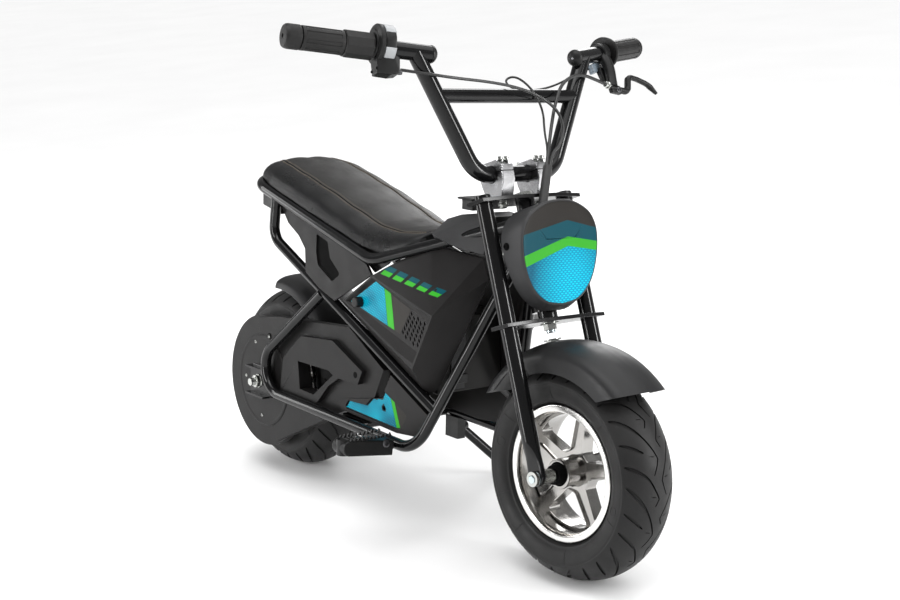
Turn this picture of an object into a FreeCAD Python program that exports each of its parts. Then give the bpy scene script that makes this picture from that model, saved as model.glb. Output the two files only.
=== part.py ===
import FreeCAD, Part
import math
import os
import Sketcher
from FreeCAD import Vector, Rotation, Placement

# Electric minibike, stored as it parks: leaning left on its side stand.
# Bike frame: X forward, Y to the rider's left, Z up, millimetres, origin on the
# ground under the rear axle with the bike upright. Everything is built upright
# and then leaned by one placement. Steered pieces are built in the fork frame:
# X ahead of the steering axis, Y left, Z up along it, origin at the front axle.

doc = FreeCAD.newDocument("Minibike")
sheet = doc.addObject("Spreadsheet::Sheet", "Dims")

CELLS = [  # alias, value
    ("WheelBase", 653.3), ("RakeAngle", 19.85), ("SteerRest", 3.4), ("LeanAngle", 7.5),
    ("ShiftAlong", -326.67), ("ShiftAcross", -79.48),
    ("TyreRadius", 141.0), ("TyreHalfWidth", 44.2), ("CrownRadius", 53.2),
    ("BeadRadius", 83.0), ("BeadHalf", 31.0), ("FlangeRadius", 88.0), ("RimHalf", 35.4),
    ("BarrelInner", 77.5), ("HubRadius", 21.0), ("HubHalf", 47.0), ("AxleBore", 8.2),
    ("SpokeHalfRoot", 11.0), ("SpokeHalfTip", 8.0), ("SpokeThick", 16.0), ("SpokeCount", 5),
    ("FrameTubeRadius", 8.0), ("FrameHalf", 89.0),
    ("HeadOuter", 19.5), ("HeadInner", 13.5), ("HeadLow", 208.0), ("HeadLength", 134.0),
    ("SteererRadius", 12.7), ("SteererLow", 171.0), ("SteererLength", 192.0),
    ("ForkRadius", 11.0), ("ForkHalf", 72.9), ("ForkTop", 366.0), ("ForkLow", 30.0),
    ("TongueThick", 8.0), ("TongueRadius", 13.0), ("FrontAxleRadius", 6.0), ("FrontAxleHalf", 80.0),
    ("LowerClampAt", 192.0), ("UpperClampAt", 355.0), ("ClampThick", 5.0), ("ClampHalf", 88.0),
    ("ClampRound", 16.0),
    ("RearAxleRadius", 6.0), ("RearAxleHalf", 94.7), ("NutRadius", 9.5), ("NutThick", 7.0),
    ("DropoutThick", 3.0), ("DropoutAt", 82.5),
    ("BatteryLong", 162.0), ("BatteryWide", 112.0), ("BatteryHigh", 107.0),
    ("MotorRadius", 49.0), ("MotorWide", 100.0),
    ("BarRadius", 11.1), ("GripRadius", 18.0),
    ("PegLong", 82.0), ("PegWide", 30.0), ("PegHigh", 21.0),
    ("CoverBack", 62.0), ("CoverThick", 12.0), ("CoverRadius", 103.0), ("RingRadius", 72.5),
    ("SprocketRadius", 62.0), ("StandRadius", 7.0),
    ("ShellThick", 3.0),
]
for row, (alias, value) in enumerate(CELLS, start=1):
    sheet.set("A%d" % row, alias)
    sheet.set("B%d" % row, str(value))
    sheet.setAlias("B%d" % row, alias)
doc.recompute()


def dim(alias):
    return float(sheet.get(alias))


parts = []  # (node name, object)


# ---------------------------------------------------------------- placements
def turned(axis, degrees):
    return Placement(Vector(0, 0, 0), Rotation(axis, degrees))


X, Y, Z = Vector(1, 0, 0), Vector(0, 1, 0), Vector(0, 0, 1)
STEER = (Placement(Vector(dim("WheelBase"), 0, dim("TyreRadius")), Rotation())
         * turned(Y, -dim("RakeAngle")) * turned(Z, dim("SteerRest")))
REAR = Placement(Vector(0, 0, dim("TyreRadius")), Rotation())


def lowest(place):
    """Height of the lowest tyre point of a wheel whose centre and axle sit at place."""
    axle = place.Rotation.multVec(Y)
    rim = dim("TyreRadius") - dim("CrownRadius")
    return place.Base.z - rim * math.sqrt(1 - axle.z ** 2) - dim("CrownRadius")


LEAN = turned(X, -dim("LeanAngle"))
for step in range(4):  # both tyres touch the floor
    drop_rear, drop_front = lowest(LEAN * REAR), lowest(LEAN * STEER)
    pitch = math.degrees((drop_front - drop_rear) / dim("WheelBase"))
    LEAN = LEAN * turned(Y, pitch)
    LEAN.Base.z -= lowest(LEAN * REAR)
LEAN.Base.x, LEAN.Base.y = dim("ShiftAlong"), dim("ShiftAcross")
STEER_W, REAR_W = LEAN * STEER, LEAN * REAR


# ---------------------------------------------------------------- helpers
def keep(name, obj, place):
    obj.Label = name
    obj.Placement = place
    parts.append((name, obj))
    return obj


def shape_part(name, shape, place):
    obj = doc.addObject("Part::Feature", "F_" + name)
    obj.Shape = shape
    return keep(name, obj, place)


def cylinder(name, radius, height, base, axis=Y):
    """Cylinder whose radius and height come from cells (text) or numbers."""
    obj = doc.addObject("Part::Cylinder", name)
    for prop, value in (("Radius", radius), ("Height", height)):
        if isinstance(value, str):
            obj.setExpression(prop, value)
        else:
            setattr(obj, prop, value)
    obj.Placement = Placement(Vector(*base), Rotation(Z, axis))
    return obj


def box(name, sizes, corner):
    obj = doc.addObject("Part::Box", name)
    for prop, value in zip(("Length", "Width", "Height"), sizes):
        if isinstance(value, str):
            obj.setExpression(prop, value)
        else:
            setattr(obj, prop, value)
    obj.Placement = Placement(Vector(*corner), Rotation())
    return obj


def fuse(name, objs):
    out = doc.addObject("Part::MultiFuse", name)
    out.Shapes = objs
    return out


def cut(name, base, tool):
    out = doc.addObject("Part::Cut", name)
    out.Base, out.Tool = base, tool
    return out


def origin_plane(body, role):
    return [f for f in body.Origin.OriginFeatures if f.Role == role][0]


def sketch(body, name, plane, outline, at=0.0, circles=()):
    """Closed outline of (x, y) corners; a coordinate may be a cell name, with - in front
    for its negative. circles: (x, y, radius)."""
    sk = body.newObject("Sketcher::SketchObject", name)
    sk.AttachmentSupport = [(origin_plane(body, plane), "")]
    sk.MapMode = "FlatFace"
    sk.AttachmentOffset = Placement(Vector(0, 0, at), Rotation())

    def number(v):
        if isinstance(v, str):
            return -dim(v[1:]) if v.startswith("-") else dim(v)
        return float(v)

    pts = [Vector(number(a), number(b), 0) for a, b in outline]
    n = len(pts)
    for i in range(n):
        sk.addGeometry(Part.LineSegment(pts[i], pts[(i + 1) % n]), False)
    for i in range(n):
        sk.addConstraint(Sketcher.Constraint("Coincident", i, 2, (i + 1) % n, 1))
    for i, (a, b) in enumerate(outline):
        for kind, v in (("DistanceX", a), ("DistanceY", b)):
            idx = sk.addConstraint(Sketcher.Constraint(kind, -1, 1, i, 1, number(v)))
            if isinstance(v, str):
                sign, alias = ("-", v[1:]) if v.startswith("-") else ("", v)
                sk.setExpression("Constraints[%d]" % idx, "%sDims.%s" % (sign, alias))
    for cx, cy, r in circles:
        g = sk.addGeometry(Part.Circle(Vector(number(cx), number(cy), 0), Z, number(r)), False)
        idx = sk.addConstraint(Sketcher.Constraint("Radius", g, number(r)))
        if isinstance(r, str):
            sk.setExpression("Constraints[%d]" % idx, "Dims." + r)
        for kind, v in (("DistanceX", cx), ("DistanceY", cy)):
            sk.addConstraint(Sketcher.Constraint(kind, -1, 1, g, 3, number(v)))
    return sk


def pad(body, name, profile, length, midplane=False, reverse=False):
    feat = body.newObject("PartDesign::Pad", name)
    feat.Profile = profile
    if isinstance(length, str):
        feat.setExpression("Length", length)
    else:
        feat.Length = length
    if midplane:
        feat.SideType = "Symmetric" if "SideType" in feat.PropertiesList else feat.SideType
    feat.Reversed = reverse
    return feat


def plate(name, plane, outline, at, length, circles=(), reverse=False):
    """Plate body: outline padded from the offset plane."""
    body = doc.addObject("PartDesign::Body", "B_" + name)
    sk = sketch(body, "Outline_" + name, plane, outline, at, circles)
    pad(body, "Pad_" + name, sk, length, reverse=reverse)
    return body


def rounded_path(points, radii):
    """Straight runs joined by tangent arcs: list of ('line', a, b) and
    ('arc', a, centre, axis, degrees)."""
    pts = [Vector(*p) for p in points]
    out, start = [], pts[0]
    for i in range(1, len(pts) - 1):
        a, b, c = pts[i - 1], pts[i], pts[i + 1]
        u, v = (a - b).normalize(), (c - b).normalize()
        turn = math.pi - u.getAngle(v)
        r = radii[i - 1]
        reach = r * math.tan(turn / 2)
        p, q = b + u * reach, b + v * reach
        centre = b + (u + v).normalize() * (r / math.cos(turn / 2))
        axis = (p - centre).cross(q - centre).normalize()
        out.append(("line", start, p))
        out.append(("arc", p, centre, axis, math.degrees(turn)))
        start = q
    out.append(("line", start, pts[-1]))
    return out


def tube(points, radii, radius):
    """Round bar along a path of straight runs and tangent arcs."""
    solids = []
    for seg in rounded_path(points, radii):
        if seg[0] == "line":
            way = seg[2] - seg[1]
            if way.Length > 0.05:
                solids.append(Part.makeCylinder(radius, way.Length, seg[1], way))
        else:
            _, p, centre, axis, degrees = seg
            way = axis.cross(p - centre).normalize()
            disc = Part.Face(Part.Wire(Part.makeCircle(radius, p, way)))
            solids.append(disc.revolve(centre, axis, degrees))
    shape = solids[0].fuse(solids[1:]) if len(solids) > 1 else solids[0]
    return shape


def hull(points):
    """Closed solid of the flat faces around the given points."""
    pts = [Vector(*p) for p in points]
    centre = Vector(0, 0, 0)
    for p in pts:
        centre += p * (1.0 / len(pts))
    faces, seen = [], set()
    n = len(pts)
    for i in range(n):
        for j in range(i + 1, n):
            for k in range(j + 1, n):
                normal = (pts[j] - pts[i]).cross(pts[k] - pts[i])
                if normal.Length < 1e-6:
                    continue
                normal.normalize()
                if normal.dot(centre - pts[i]) > 0:
                    normal = normal * -1
                away = [normal.dot(p - pts[i]) for p in pts]
                if max(away) > 1e-4:
                    continue
                ring = tuple(q for q in range(n) if abs(away[q]) <= 1e-4)
                if ring in seen:
                    continue
                seen.add(ring)
                mid = Vector(0, 0, 0)
                for q in ring:
                    mid += pts[q] * (1.0 / len(ring))
                ux = (pts[ring[0]] - mid).normalize()
                uy = normal.cross(ux)
                order = sorted(ring, key=lambda q: math.atan2((pts[q] - mid).dot(uy), (pts[q] - mid).dot(ux)))
                corners = []
                for q in order:  # corners that lie in line are dropped
                    corners.append(pts[q])
                clean = []
                m = len(corners)
                for a in range(m):
                    u = corners[a] - corners[a - 1]
                    v = corners[(a + 1) % m] - corners[a]
                    if u.cross(v).Length > 1e-6 * u.Length * v.Length + 1e-9:
                        clean.append(corners[a])
                faces.append(Part.Face(Part.makePolygon(clean + [clean[0]])))
    solid = Part.Solid(Part.Shell(faces))
    if solid.Volume < 0:
        solid.reverse()
    return solid


def mirrored(points, side):
    """Points given for the right side (negative Y); side -1 keeps, +1 mirrors."""
    return [(x, y * -side, z) for x, y, z in points]


# ---------------------------------------------------------------- wheels
def tyre(name, place):
    r, w = dim("TyreRadius"), dim("TyreHalfWidth")
    bead, bh, fl = dim("BeadRadius"), dim("BeadHalf"), dim("FlangeRadius")
    side_r = r - 23.0
    p = [Vector(bead, -bh, 0), Vector(fl + 1, -bh - 0.5, 0), Vector(side_r, -w + 0.4, 0),
         Vector(side_r, w - 0.4, 0), Vector(fl + 1, bh + 0.5, 0), Vector(bead, bh, 0)]
    edges = [Part.makeLine(p[0], p[1]),
             Part.Arc(p[1], Vector(104.0, -w + 1.2, 0), p[2]).toShape(),
             Part.Arc(p[2], Vector(r, 0, 0), p[3]).toShape(),
             Part.Arc(p[3], Vector(104.0, w - 1.2, 0), p[4]).toShape(),
             Part.makeLine(p[4], p[5]), Part.makeLine(p[5], p[0])]
    face = Part.Face(Part.Wire(edges))
    solid = face.revolve(Vector(0, 0, 0), Y, 360)
    return shape_part(name, solid, place)


def rim(name, place):
    """Barrel with two flanges, hub and five tapered spokes."""
    body = doc.addObject("PartDesign::Body", "B_" + name)
    outline = [("BarrelInner", -33.0), (79.0, "-RimHalf"), ("FlangeRadius", "-RimHalf"),
               ("FlangeRadius", -31.8), ("BeadRadius", -31.5), ("BeadRadius", 31.5),
               ("FlangeRadius", 31.8), ("FlangeRadius", "RimHalf"), (79.0, "RimHalf"), ("BarrelInner", 33.0)]
    sk = sketch(body, "Barrel_" + name, "XY_Plane", outline)
    rev = body.newObject("PartDesign::Revolution", "RevBarrel_" + name)
    rev.Profile = sk
    rev.ReferenceAxis = (origin_axis(body, "Y_Axis"), [""])
    rev.Angle = 360
    sp = sketch(body, "Spoke_" + name, "XZ_Plane",
                [(14.0, "-SpokeHalfRoot"), (78.5, "-SpokeHalfTip"), (78.5, "SpokeHalfTip"), (14.0, "SpokeHalfRoot")], -8.0)
    arm = pad(body, "PadSpoke_" + name, sp, "Dims.SpokeThick")
    doc.recompute()
    pattern = body.newObject("PartDesign::PolarPattern", "Spokes_" + name)
    pattern.Originals = [arm]
    pattern.Axis = (origin_axis(body, "Y_Axis"), [""])
    pattern.Angle = 360
    pattern.Occurrences = int(dim("SpokeCount"))
    body.Tip = pattern
    hub_outline = [("AxleBore", "-HubHalf"), (13.5, "-HubHalf"), (13.5, -40.0), ("HubRadius", -38.0),
                   ("HubRadius", 38.0), (13.5, 40.0), (13.5, "HubHalf"), ("AxleBore", "HubHalf")]
    hs = sketch(body, "Hub_" + name, "XY_Plane", hub_outline)
    hrev = body.newObject("PartDesign::Revolution", "RevHub_" + name)
    hrev.Profile = hs
    hrev.ReferenceAxis = (origin_axis(body, "Y_Axis"), [""])
    hrev.Angle = 360
    body.Tip = hrev
    return keep(name, body, place)


def origin_axis(body, role):
    return [f for f in body.Origin.OriginFeatures if f.Role == role][0]


tyre("rear_tyre", REAR_W)
tyre("front_tyre", STEER_W)
rim("rear_rim", REAR_W)
rim("front_rim", STEER_W)

# rear sprocket on the right face of the hub
sprocket = cut("SprocketCut",
               fuse("SprocketBody", [cylinder("SprocketDisc", "Dims.SprocketRadius", 3.0, (0, -55, 0)),
                                     cylinder("SprocketBoss", 13.0, 5.0, (0, -52.4, 0))]),
               cylinder("SprocketBore", "Dims.AxleBore", 20.0, (0, -60, 0)))
keep("rear_sprocket", sprocket, REAR_W)

# ---------------------------------------------------------------- frame tubes
TR = dim("FrameTubeRadius")
FH = dim("FrameHalf")
# route tables for the right side: corner (x, y, z), bend radius at each inner corner
RAIL = [(540, -14, 402), (419.3, -FH, 125), (-48.9, -FH, 134.5), (182, -86, 308.5)]
RAIL_BENDS = [50, 39.3]
LOOP = [(446, -74, 184), (49, -FH, 375.5), (56.5, -FH, 439)]
LOOP_BENDS = [28]
SEAT = [(533, -17, 446), (311, -FH, 374), (-18, -FH, 458), (-18, 0, 458)]
SEAT_BENDS = [60, 45]
HEAD_A = Vector(dim("WheelBase") - math.sin(math.radians(dim("RakeAngle"))) * dim("HeadLow"), 0,
                dim("TyreRadius") + math.cos(math.radians(dim("RakeAngle"))) * dim("HeadLow"))
HEAD_D = Vector(-math.sin(math.radians(dim("RakeAngle"))), 0, math.cos(math.radians(dim("RakeAngle"))))

head_solid = Part.makeCylinder(dim("HeadOuter") + 0.02, dim("HeadLength"), HEAD_A, HEAD_D)
tubes = {}
for side, tag in ((-1, "right"), (1, "left")):
    rail = tube(mirrored(RAIL, side), RAIL_BENDS, TR)
    loop = tube(mirrored(LOOP, side), LOOP_BENDS, TR)
    seat = tube(mirrored(SEAT, side), SEAT_BENDS, TR)
    seat = seat.cut(head_solid)
    rail = rail.cut(head_solid)
    loop = loop.cut(rail).cut(seat)
    loop = max(loop.Solids, key=lambda s: s.Volume)
    rail = rail.cut(loop)
    rail = max(rail.Solids, key=lambda s: s.Volume)
    seat = max(seat.Solids, key=lambda s: s.Volume)
    # the two sides stay apart at the middle plane
    half = Part.makeBox(1200, 400, 900, Vector(-300, -400.02 if side < 0 else 0.02, 0))
    seat = max(seat.common(half).Solids, key=lambda s: s.Volume)
    rail = max(rail.common(half).Solids, key=lambda s: s.Volume)
    rail = max(rail.cut(seat).Solids, key=lambda s: s.Volume)
    tubes[tag] = (rail, loop, seat)
    shape_part("frame_rail_" + tag, rail, LEAN)
    shape_part("frame_loop_" + tag, loop, LEAN)
    shape_part("seat_rail_" + tag, seat, LEAN)
fat = []  # the same tubes, slightly thicker, for the clearance of panels
for side in (-1, 1):
    fat.append(tube(mirrored(RAIL, side), RAIL_BENDS, TR + 0.6))
    fat.append(tube(mirrored(LOOP, side), LOOP_BENDS, TR + 0.6))
    fat.append(tube(mirrored(SEAT, side), SEAT_BENDS, TR + 0.6))


def clear_of_tubes(shape):
    out = shape
    for t in fat:
        if t.BoundBox.intersect(out.BoundBox):
            out = out.cut(t)
    return max(out.Solids, key=lambda s: s.Volume)


head = cut("HeadTubeCut", cylinder("HeadTubeOuter", "Dims.HeadOuter", "Dims.HeadLength", (0, 0, 0), Z),
           cylinder("HeadTubeBore", "Dims.HeadInner", 400.0, (0, 0, -20), Z))
keep("head_tube", head, LEAN * Placement(HEAD_A, Rotation(Z, HEAD_D)))

cross = []
for px, pz in ((260, 124.9), (231, 124.9)):
    c = Part.makeCylinder(7, 2 * FH - 6, Vector(px, -FH + 3, pz), Y)
    for tag in ("right", "left"):
        c = c.cut(tubes[tag][0])
    cross.append(max(c.Solids, key=lambda s: s.Volume))
shape_part("frame_cross_tubes", Part.makeCompound(cross), LEAN)

# dropouts: channel plates behind the rear bend, one each side
for side, tag in ((-1, "right"), (1, "left")):
    at = dim("DropoutAt")
    th = dim("DropoutThick")
    web = Part.makeBox(64, th, 40, Vector(-24, at, 121))
    flanges = [Part.makeBox(52, 13, th, Vector(-24, at, z)) for z in (121 - th, 161)]
    shape = web.fuse(flanges)
    shape = shape.cut(Part.makeCylinder(dim("RearAxleRadius") + 0.1, 40, Vector(0, 60, 141), Y))
    if side < 0:
        shape = shape.mirror(Vector(0, 0, 0), Y)
    shape = max(shape.cut(tubes[tag][0]).Solids, key=lambda s: s.Volume)
    shape_part("dropout_" + tag, shape, LEAN)

# rear axle with its two nuts, washers and spacers
axle = [cylinder("RearAxleRod", "Dims.RearAxleRadius", "2*Dims.RearAxleHalf", (0, -dim("RearAxleHalf"), 0))]
for side in (-1, 1):
    face = dim("DropoutAt") + dim("DropoutThick")
    axle.append(cylinder("RearNut%d" % side, "Dims.NutRadius", "Dims.NutThick",
                         (0, face if side > 0 else -face - dim("NutThick"), 0)))
    axle.append(cylinder("RearSpacer%d" % side, 8.0, 18.0, (0, 64.3 if side > 0 else -82.3, 0)))
keep("rear_axle", fuse("RearAxleFuse", axle), REAR_W)

# ---------------------------------------------------------------- power pack
battery = box("BatteryBox", ("Dims.BatteryLong", "Dims.BatteryWide", "Dims.BatteryHigh"),
              (262, -dim("BatteryWide") / 2, 200))
battery_foot = box("BatteryFoot", (26.0, "Dims.BatteryWide", 66.0), (262, -dim("BatteryWide") / 2, 135))
keep("battery_box", fuse("BatteryFuse", [battery, battery_foot]), LEAN)
motor = cylinder("MotorBlock", "Dims.MotorRadius", "Dims.MotorWide", (0, -48, 0))
keep("motor", motor, LEAN * Placement(Vector(206, 0, 187), Rotation()) * motor.Placement)
tray = box("BatteryTray", (66.0, 150.0, 2.6), (222, -75, 132.2))
keep("battery_tray", tray, LEAN * tray.Placement)

# chain: two straight runs and two half turns around the sprockets
sx, sz, small = 206.0, 187.0 - 141.0, 17.0


def belt(r1, r2, y0, thick):
    """Solid of two discs joined by their outer tangents, in the rear wheel frame."""
    gap = math.hypot(sx, sz)
    base = math.atan2(sz, sx)
    lean = math.acos((r1 - r2) / gap)
    quad = []
    for sgn in (1, -1):
        a = base + sgn * lean
        for (cx, cz, r) in ((0, 0, r1), (sx, sz, r2)):
            quad.append(Vector(cx + r * math.cos(a), y0, cz + r * math.sin(a)))
    ring = [quad[0], quad[1], quad[3], quad[2], quad[0]]
    mid = Part.Face(Part.makePolygon(ring)).extrude(Vector(0, thick, 0))
    return mid.fuse([Part.makeCylinder(r1, thick, Vector(0, y0, 0), Y),
                     Part.makeCylinder(r2, thick, Vector(sx, y0, sz), Y)])


RS = dim("SprocketRadius")
chain = belt(RS + 6.5, small + 6.5, -56.5, 6).cut(belt(RS + 1.5, small + 1.0, -58, 9))
shape_part("drive_chain", max(chain.Solids, key=lambda s: s.Volume), REAR_W)
pinion = cylinder("MotorPinion", small, 3.0, (sx, -55, sz))
shaft = cylinder("MotorShaft", 6.0, 8.0, (sx, -56.1, sz))
keep("motor_sprocket", fuse("PinionFuse", [pinion, shaft]), REAR_W)

# ---------------------------------------------------------------- chain cover
# face outline (x, z about the axle) of the forward part, and of its raised face
ARM = [(-20, 97), (40, 108), (238, 124), (325, 77), (304, 34), (170, -31), (112, -56), (40, -90)]
FACE = [(120, 92), (205, 100), (283, 68), (272, 47), (222, 46), (196, 30), (165, -2), (60, -8), (70, 50)]
WINDOW = [(112, 52), (196, 53), (207, 48), (156, 9), (118, 10)]
disc = cylinder("CoverDisc", "Dims.CoverRadius", "Dims.CoverThick", (0, -dim("CoverBack") - dim("CoverThick"), 0))
ring = cylinder("CoverRing", "Dims.RingRadius", 3.0, (0, -dim("CoverBack") - dim("CoverThick") - 3, 0))


def prism_y(name, outline, y_from, y_to):
    body = plate(name, "XZ_Plane", outline, -y_to, abs(y_to - y_from))
    return body


arm = prism_y("CoverArm", ARM, -76, -62)
face = prism_y("CoverFace", FACE, -84, -74)
window = prism_y("CoverWindow", WINDOW, -90, -60)
axle_hole = cylinder("CoverHole", 9.0, 40.0, (0, -95, 0))
cover = cut("CoverCut2", cut("CoverCut1", fuse("CoverFuse", [disc, ring, arm, face]), window), axle_hole)
doc.recompute()
shape = cover.Shape.copy()
for t in (tubes["right"][0], tubes["right"][1]):
    local = t.copy()
    local.translate(Vector(0, 0, -dim("TyreRadius")))
    shape = shape.cut(local)
shape_part("chain_cover", max(shape.Solids, key=lambda s: s.Volume), REAR_W)

# left side: band brake drum housing
brake = fuse("BrakeFuse", [cylinder("BrakeDrum", 44.0, 15.0, (0, 49.0, 0)),
                           box("BrakeArm", (14.0, 6.0, 64.0), (-7, 64.2, 4))])
keep("rear_brake", cut("BrakeCut", brake, cylinder("BrakeBore", 8.1, 40.0, (0, 45, 0))), REAR_W)

# ---------------------------------------------------------------- body panels
# side fairing corners, right side: outer ridge first, then the inner face
FAIRING = [(243, -91, 307), (247, -80, 307), (318, -94, 354), (467, -100, 321), (418, -95, 239), (512, -42, 371), (436, -62, 212), (414, -66, 197),
           (335, -84, 366), (402, -58, 405), (498, -40, 398),
           (318, -60, 350), (335, -60, 366), (400, -48, 405), (496, -34, 398), (506, -34, 370),
           (432, -59, 212), (412, -60, 199), (405, -60, 232)]
TANK = [(412, -61, 422), (424, -63, 420), (458, -57, 410), (500, -42, 403), (392, -36, 419), (405, -30, 440),
        (434, -28, 449), (470, -26, 454), (498, -24, 452), (498, -34, 428), (412, -55, 414), (385, -20, 420)]
PANEL = [(346, -79, 216), (434, -79, 176), (413, -79, 141), (362, -79, 136), (225, -79, 141), (216, -79, 152),
         (240, -79, 160), (325, -79, 178)]
WING = [(54, 430), (85, 401), (117, 386), (138, 369), (147, 335), (188, 317), (230, 305), (313, 354), (299, 367), (188, 395.5)]
pack_room = Part.makeBox(dim("BatteryLong") + 2, dim("BatteryWide") + 2, dim("BatteryHigh") + 67, Vector(261, -dim("BatteryWide") / 2 - 1, 134))
for side, tag in ((-1, "right"), (1, "left")):
    solid = hull(mirrored(FAIRING, side)).cut(pack_room)
    shape_part("side_fairing_" + tag, clear_of_tubes(solid), LEAN)
    pts = [Vector(x, -y * side, z) for x, y, z in PANEL]
    face = Part.Face(Part.makePolygon(pts + [pts[0]]))
    solid = face.extrude(Vector(0, 12 * -side, 0))
    solid = clear_of_tubes(solid)
    if side < 0:
        cover_shape = [o for n, o in parts if n == "chain_cover"][0].Shape.copy()
        cover_shape.Placement = Placement(Vector(0, 0, dim("TyreRadius")), Rotation())
        solid = max(solid.cut(cover_shape).Solids, key=lambda s: s.Volume)
    shape_part("lower_panel_" + tag, solid, LEAN)
    pts = [Vector(x, (94 - 0.12 * (z - 300)) * side, z) for x, z in WING]
    face = Part.Face(Part.makePolygon(pts + [pts[0]]))
    solid = clear_of_tubes(face.extrude(Vector(0, 4 * side, 0)))
    shape_part("wing_panel_" + tag, solid, LEAN)
tank_points = TANK + [(x, -y, z) for x, y, z in TANK]
shape_part("tank_cover", clear_of_tubes(hull(tank_points)), LEAN)

# rear fender: strip over the tyre, in the rear wheel frame
def arch(rows, thick, start, sweep):
    """Fender: section rows (radius, half width) from the edge to the crown, turned about
    the wheel axle from start by sweep degrees (0 is straight up, positive forward)."""
    outer = [Vector(0, -w, r) for r, w in rows] + [Vector(0, w, r) for r, w in reversed(rows)]
    inner = [Vector(0, -w + thick * (1 if i == 0 else 0.6), r - thick * (0 if i == 0 else 1)) for i, (r, w) in enumerate(rows)]
    inner += [Vector(0, -p.y, p.z) for p in reversed(inner)]
    ring = outer + list(reversed(inner))
    face = Part.Face(Part.makePolygon(ring + [ring[0]]))
    face.rotate(Vector(0, 0, 0), Y, start)
    return face.revolve(Vector(0, 0, 0), Y, sweep)


shape_part("rear_fender", arch([(144, 52), (156, 46), (162, 28), (163.5, 3)], 3, -3, 58), REAR_W)
tail = hull([(x, y, z) for x, zs in ((-12, (418, 446)), (40, (408, 434))) for z in zs for y in (-72, 72)])
shape_part("tail_piece", clear_of_tubes(tail), LEAN)

# seat base plate on the rails and the pad on it; station rows along the bike:
# x, floor z, edge half width, shoulder z, shoulder half width, crown z
SEAT_ROWS = [(-20, 470, 56, 477, 38, 480), (0, 465, 78, 485, 48, 488), (34, 456, 87, 482, 52, 486),
             (150, 427, 88, 450, 52, 454), (281, 395, 87, 414, 52, 418), (313, 390, 84, 411, 48, 415),
             (358, 404, 68, 416, 38, 419), (382, 412, 52, 418, 28, 420)]


def station(x, floor, edge, shoulder_z, shoulder, crown):
    pts = [(edge, floor), (edge + 1, (floor + shoulder_z) / 2), (shoulder, shoulder_z), (shoulder * 0.5, crown),
           (-shoulder * 0.5, crown), (-shoulder, shoulder_z), (-edge - 1, (floor + shoulder_z) / 2), (-edge, floor)]
    return Part.makePolygon([Vector(x, y, z) for y, z in pts] + [Vector(x, pts[0][0], pts[0][1])])


pad_solid = Part.makeLoft([station(*r) for r in SEAT_ROWS], True, True)
shape_part("seat_pad", pad_solid, LEAN)


def base_station(row):
    x, floor, edge = row[0], row[1] - 0.3, row[2] - 4
    pts = [(edge, floor - 5), (edge, floor), (-edge, floor), (-edge, floor - 5)]
    return Part.makePolygon([Vector(x, y, z) for y, z in pts] + [Vector(x, pts[0][0], pts[0][1])])


shape_part("seat_base", clear_of_tubes(Part.makeLoft([base_station(r) for r in SEAT_ROWS], True, True)), LEAN)

# foot pegs, each with a rounded outer end
for side, tag in ((-1, "right"), (1, "left")):
    bar = box("PegBar" + tag, ("Dims.PegWide", "Dims.PegLong - Dims.PegHigh/2", "Dims.PegHigh"), (-15, 0, -10.5))
    tip = cylinder("PegTip" + tag, 10.5, "Dims.PegWide", (-15, dim("PegLong") - 10.5, 0), X)
    neck = cylinder("PegNeck" + tag, 6.0, 9.0, (0, -8.5, 0))
    peg = fuse("PegFuse" + tag, [bar, tip, neck])
    place = Placement(Vector(378, 106 * side, 126), Rotation(Z, 0 if side > 0 else 180)) * turned(X, 7)
    keep("foot_peg_" + tag, peg, LEAN * place)

# side stand, deployed: pivot boss, leg and foot pad; the pad lies flat on the floor
PIVOT = LEAN.multVec(Vector(285, 92, 101))
FOOT = Vector(LEAN.Base.x + 307, LEAN.Base.y + 182, 0)
# the hinge axis turns the leg from its deployed line to one that lies back along the frame
down = LEAN.Rotation.inverted().multVec(FOOT + Vector(0, 0, 3) - PIVOT).normalize()
folded = Vector(-0.96, 0.20, 0.16).normalize()
between = (down - folded).normalize()
hinge = (Y - between * Y.dot(between)).normalize()
HINGE = LEAN.Rotation.multVec(hinge)
FOLD = math.degrees(math.atan2((down - hinge * down.dot(hinge)).cross(folded - hinge * folded.dot(hinge)).dot(hinge),
                               (down - hinge * down.dot(hinge)).dot(folded - hinge * folded.dot(hinge))))
MIDDLE = PIVOT + HINGE * 7
boss = Part.makeCylinder(9, 14, PIVOT, HINGE)
way = FOOT + Vector(0, 0, 3) - MIDDLE
leg = Part.makeCylinder(dim("StandRadius"), way.Length, MIDDLE, way)
foot = Part.makeCylinder(17, 5, FOOT, Z)
stand = boss.fuse([leg, foot]).cut(Part.makeCylinder(4.1, 40, PIVOT - HINGE * 10, HINGE))
stand = stand.cut(Part.makeCylinder(8.5, 25, PIVOT + HINGE * 14.2, HINGE))  # room for the pin's head
floor_box = Part.makeBox(400, 400, 300, Vector(FOOT.x - 200, FOOT.y - 200, 0))
stand = max(stand.common(floor_box).Solids, key=lambda s: s.Volume)
shape_part("side_stand", stand, Placement())

# bracket with the pivot pin, welded under the left rail
local = LEAN.inverse()
pin_at = local.multVec(PIVOT)
plate_shape = Part.makeBox(30, 14, 32, Vector(270, 79, 90))
plate_shape = plate_shape.cut(Part.makeCylinder(40, 40, pin_at - hinge * 0.6, hinge))
plate_shape = plate_shape.cut(tubes["left"][0])
plate_shape = max(plate_shape.Solids, key=lambda s: s.Volume)
pin = Part.makeCylinder(4.0, 20.5, pin_at - hinge * 5, hinge)
pin = pin.fuse(Part.makeCylinder(7.0, 3.0, pin_at + hinge * 14.6, hinge))
shape_part("stand_bracket", plate_shape.fuse(pin), LEAN)

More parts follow.
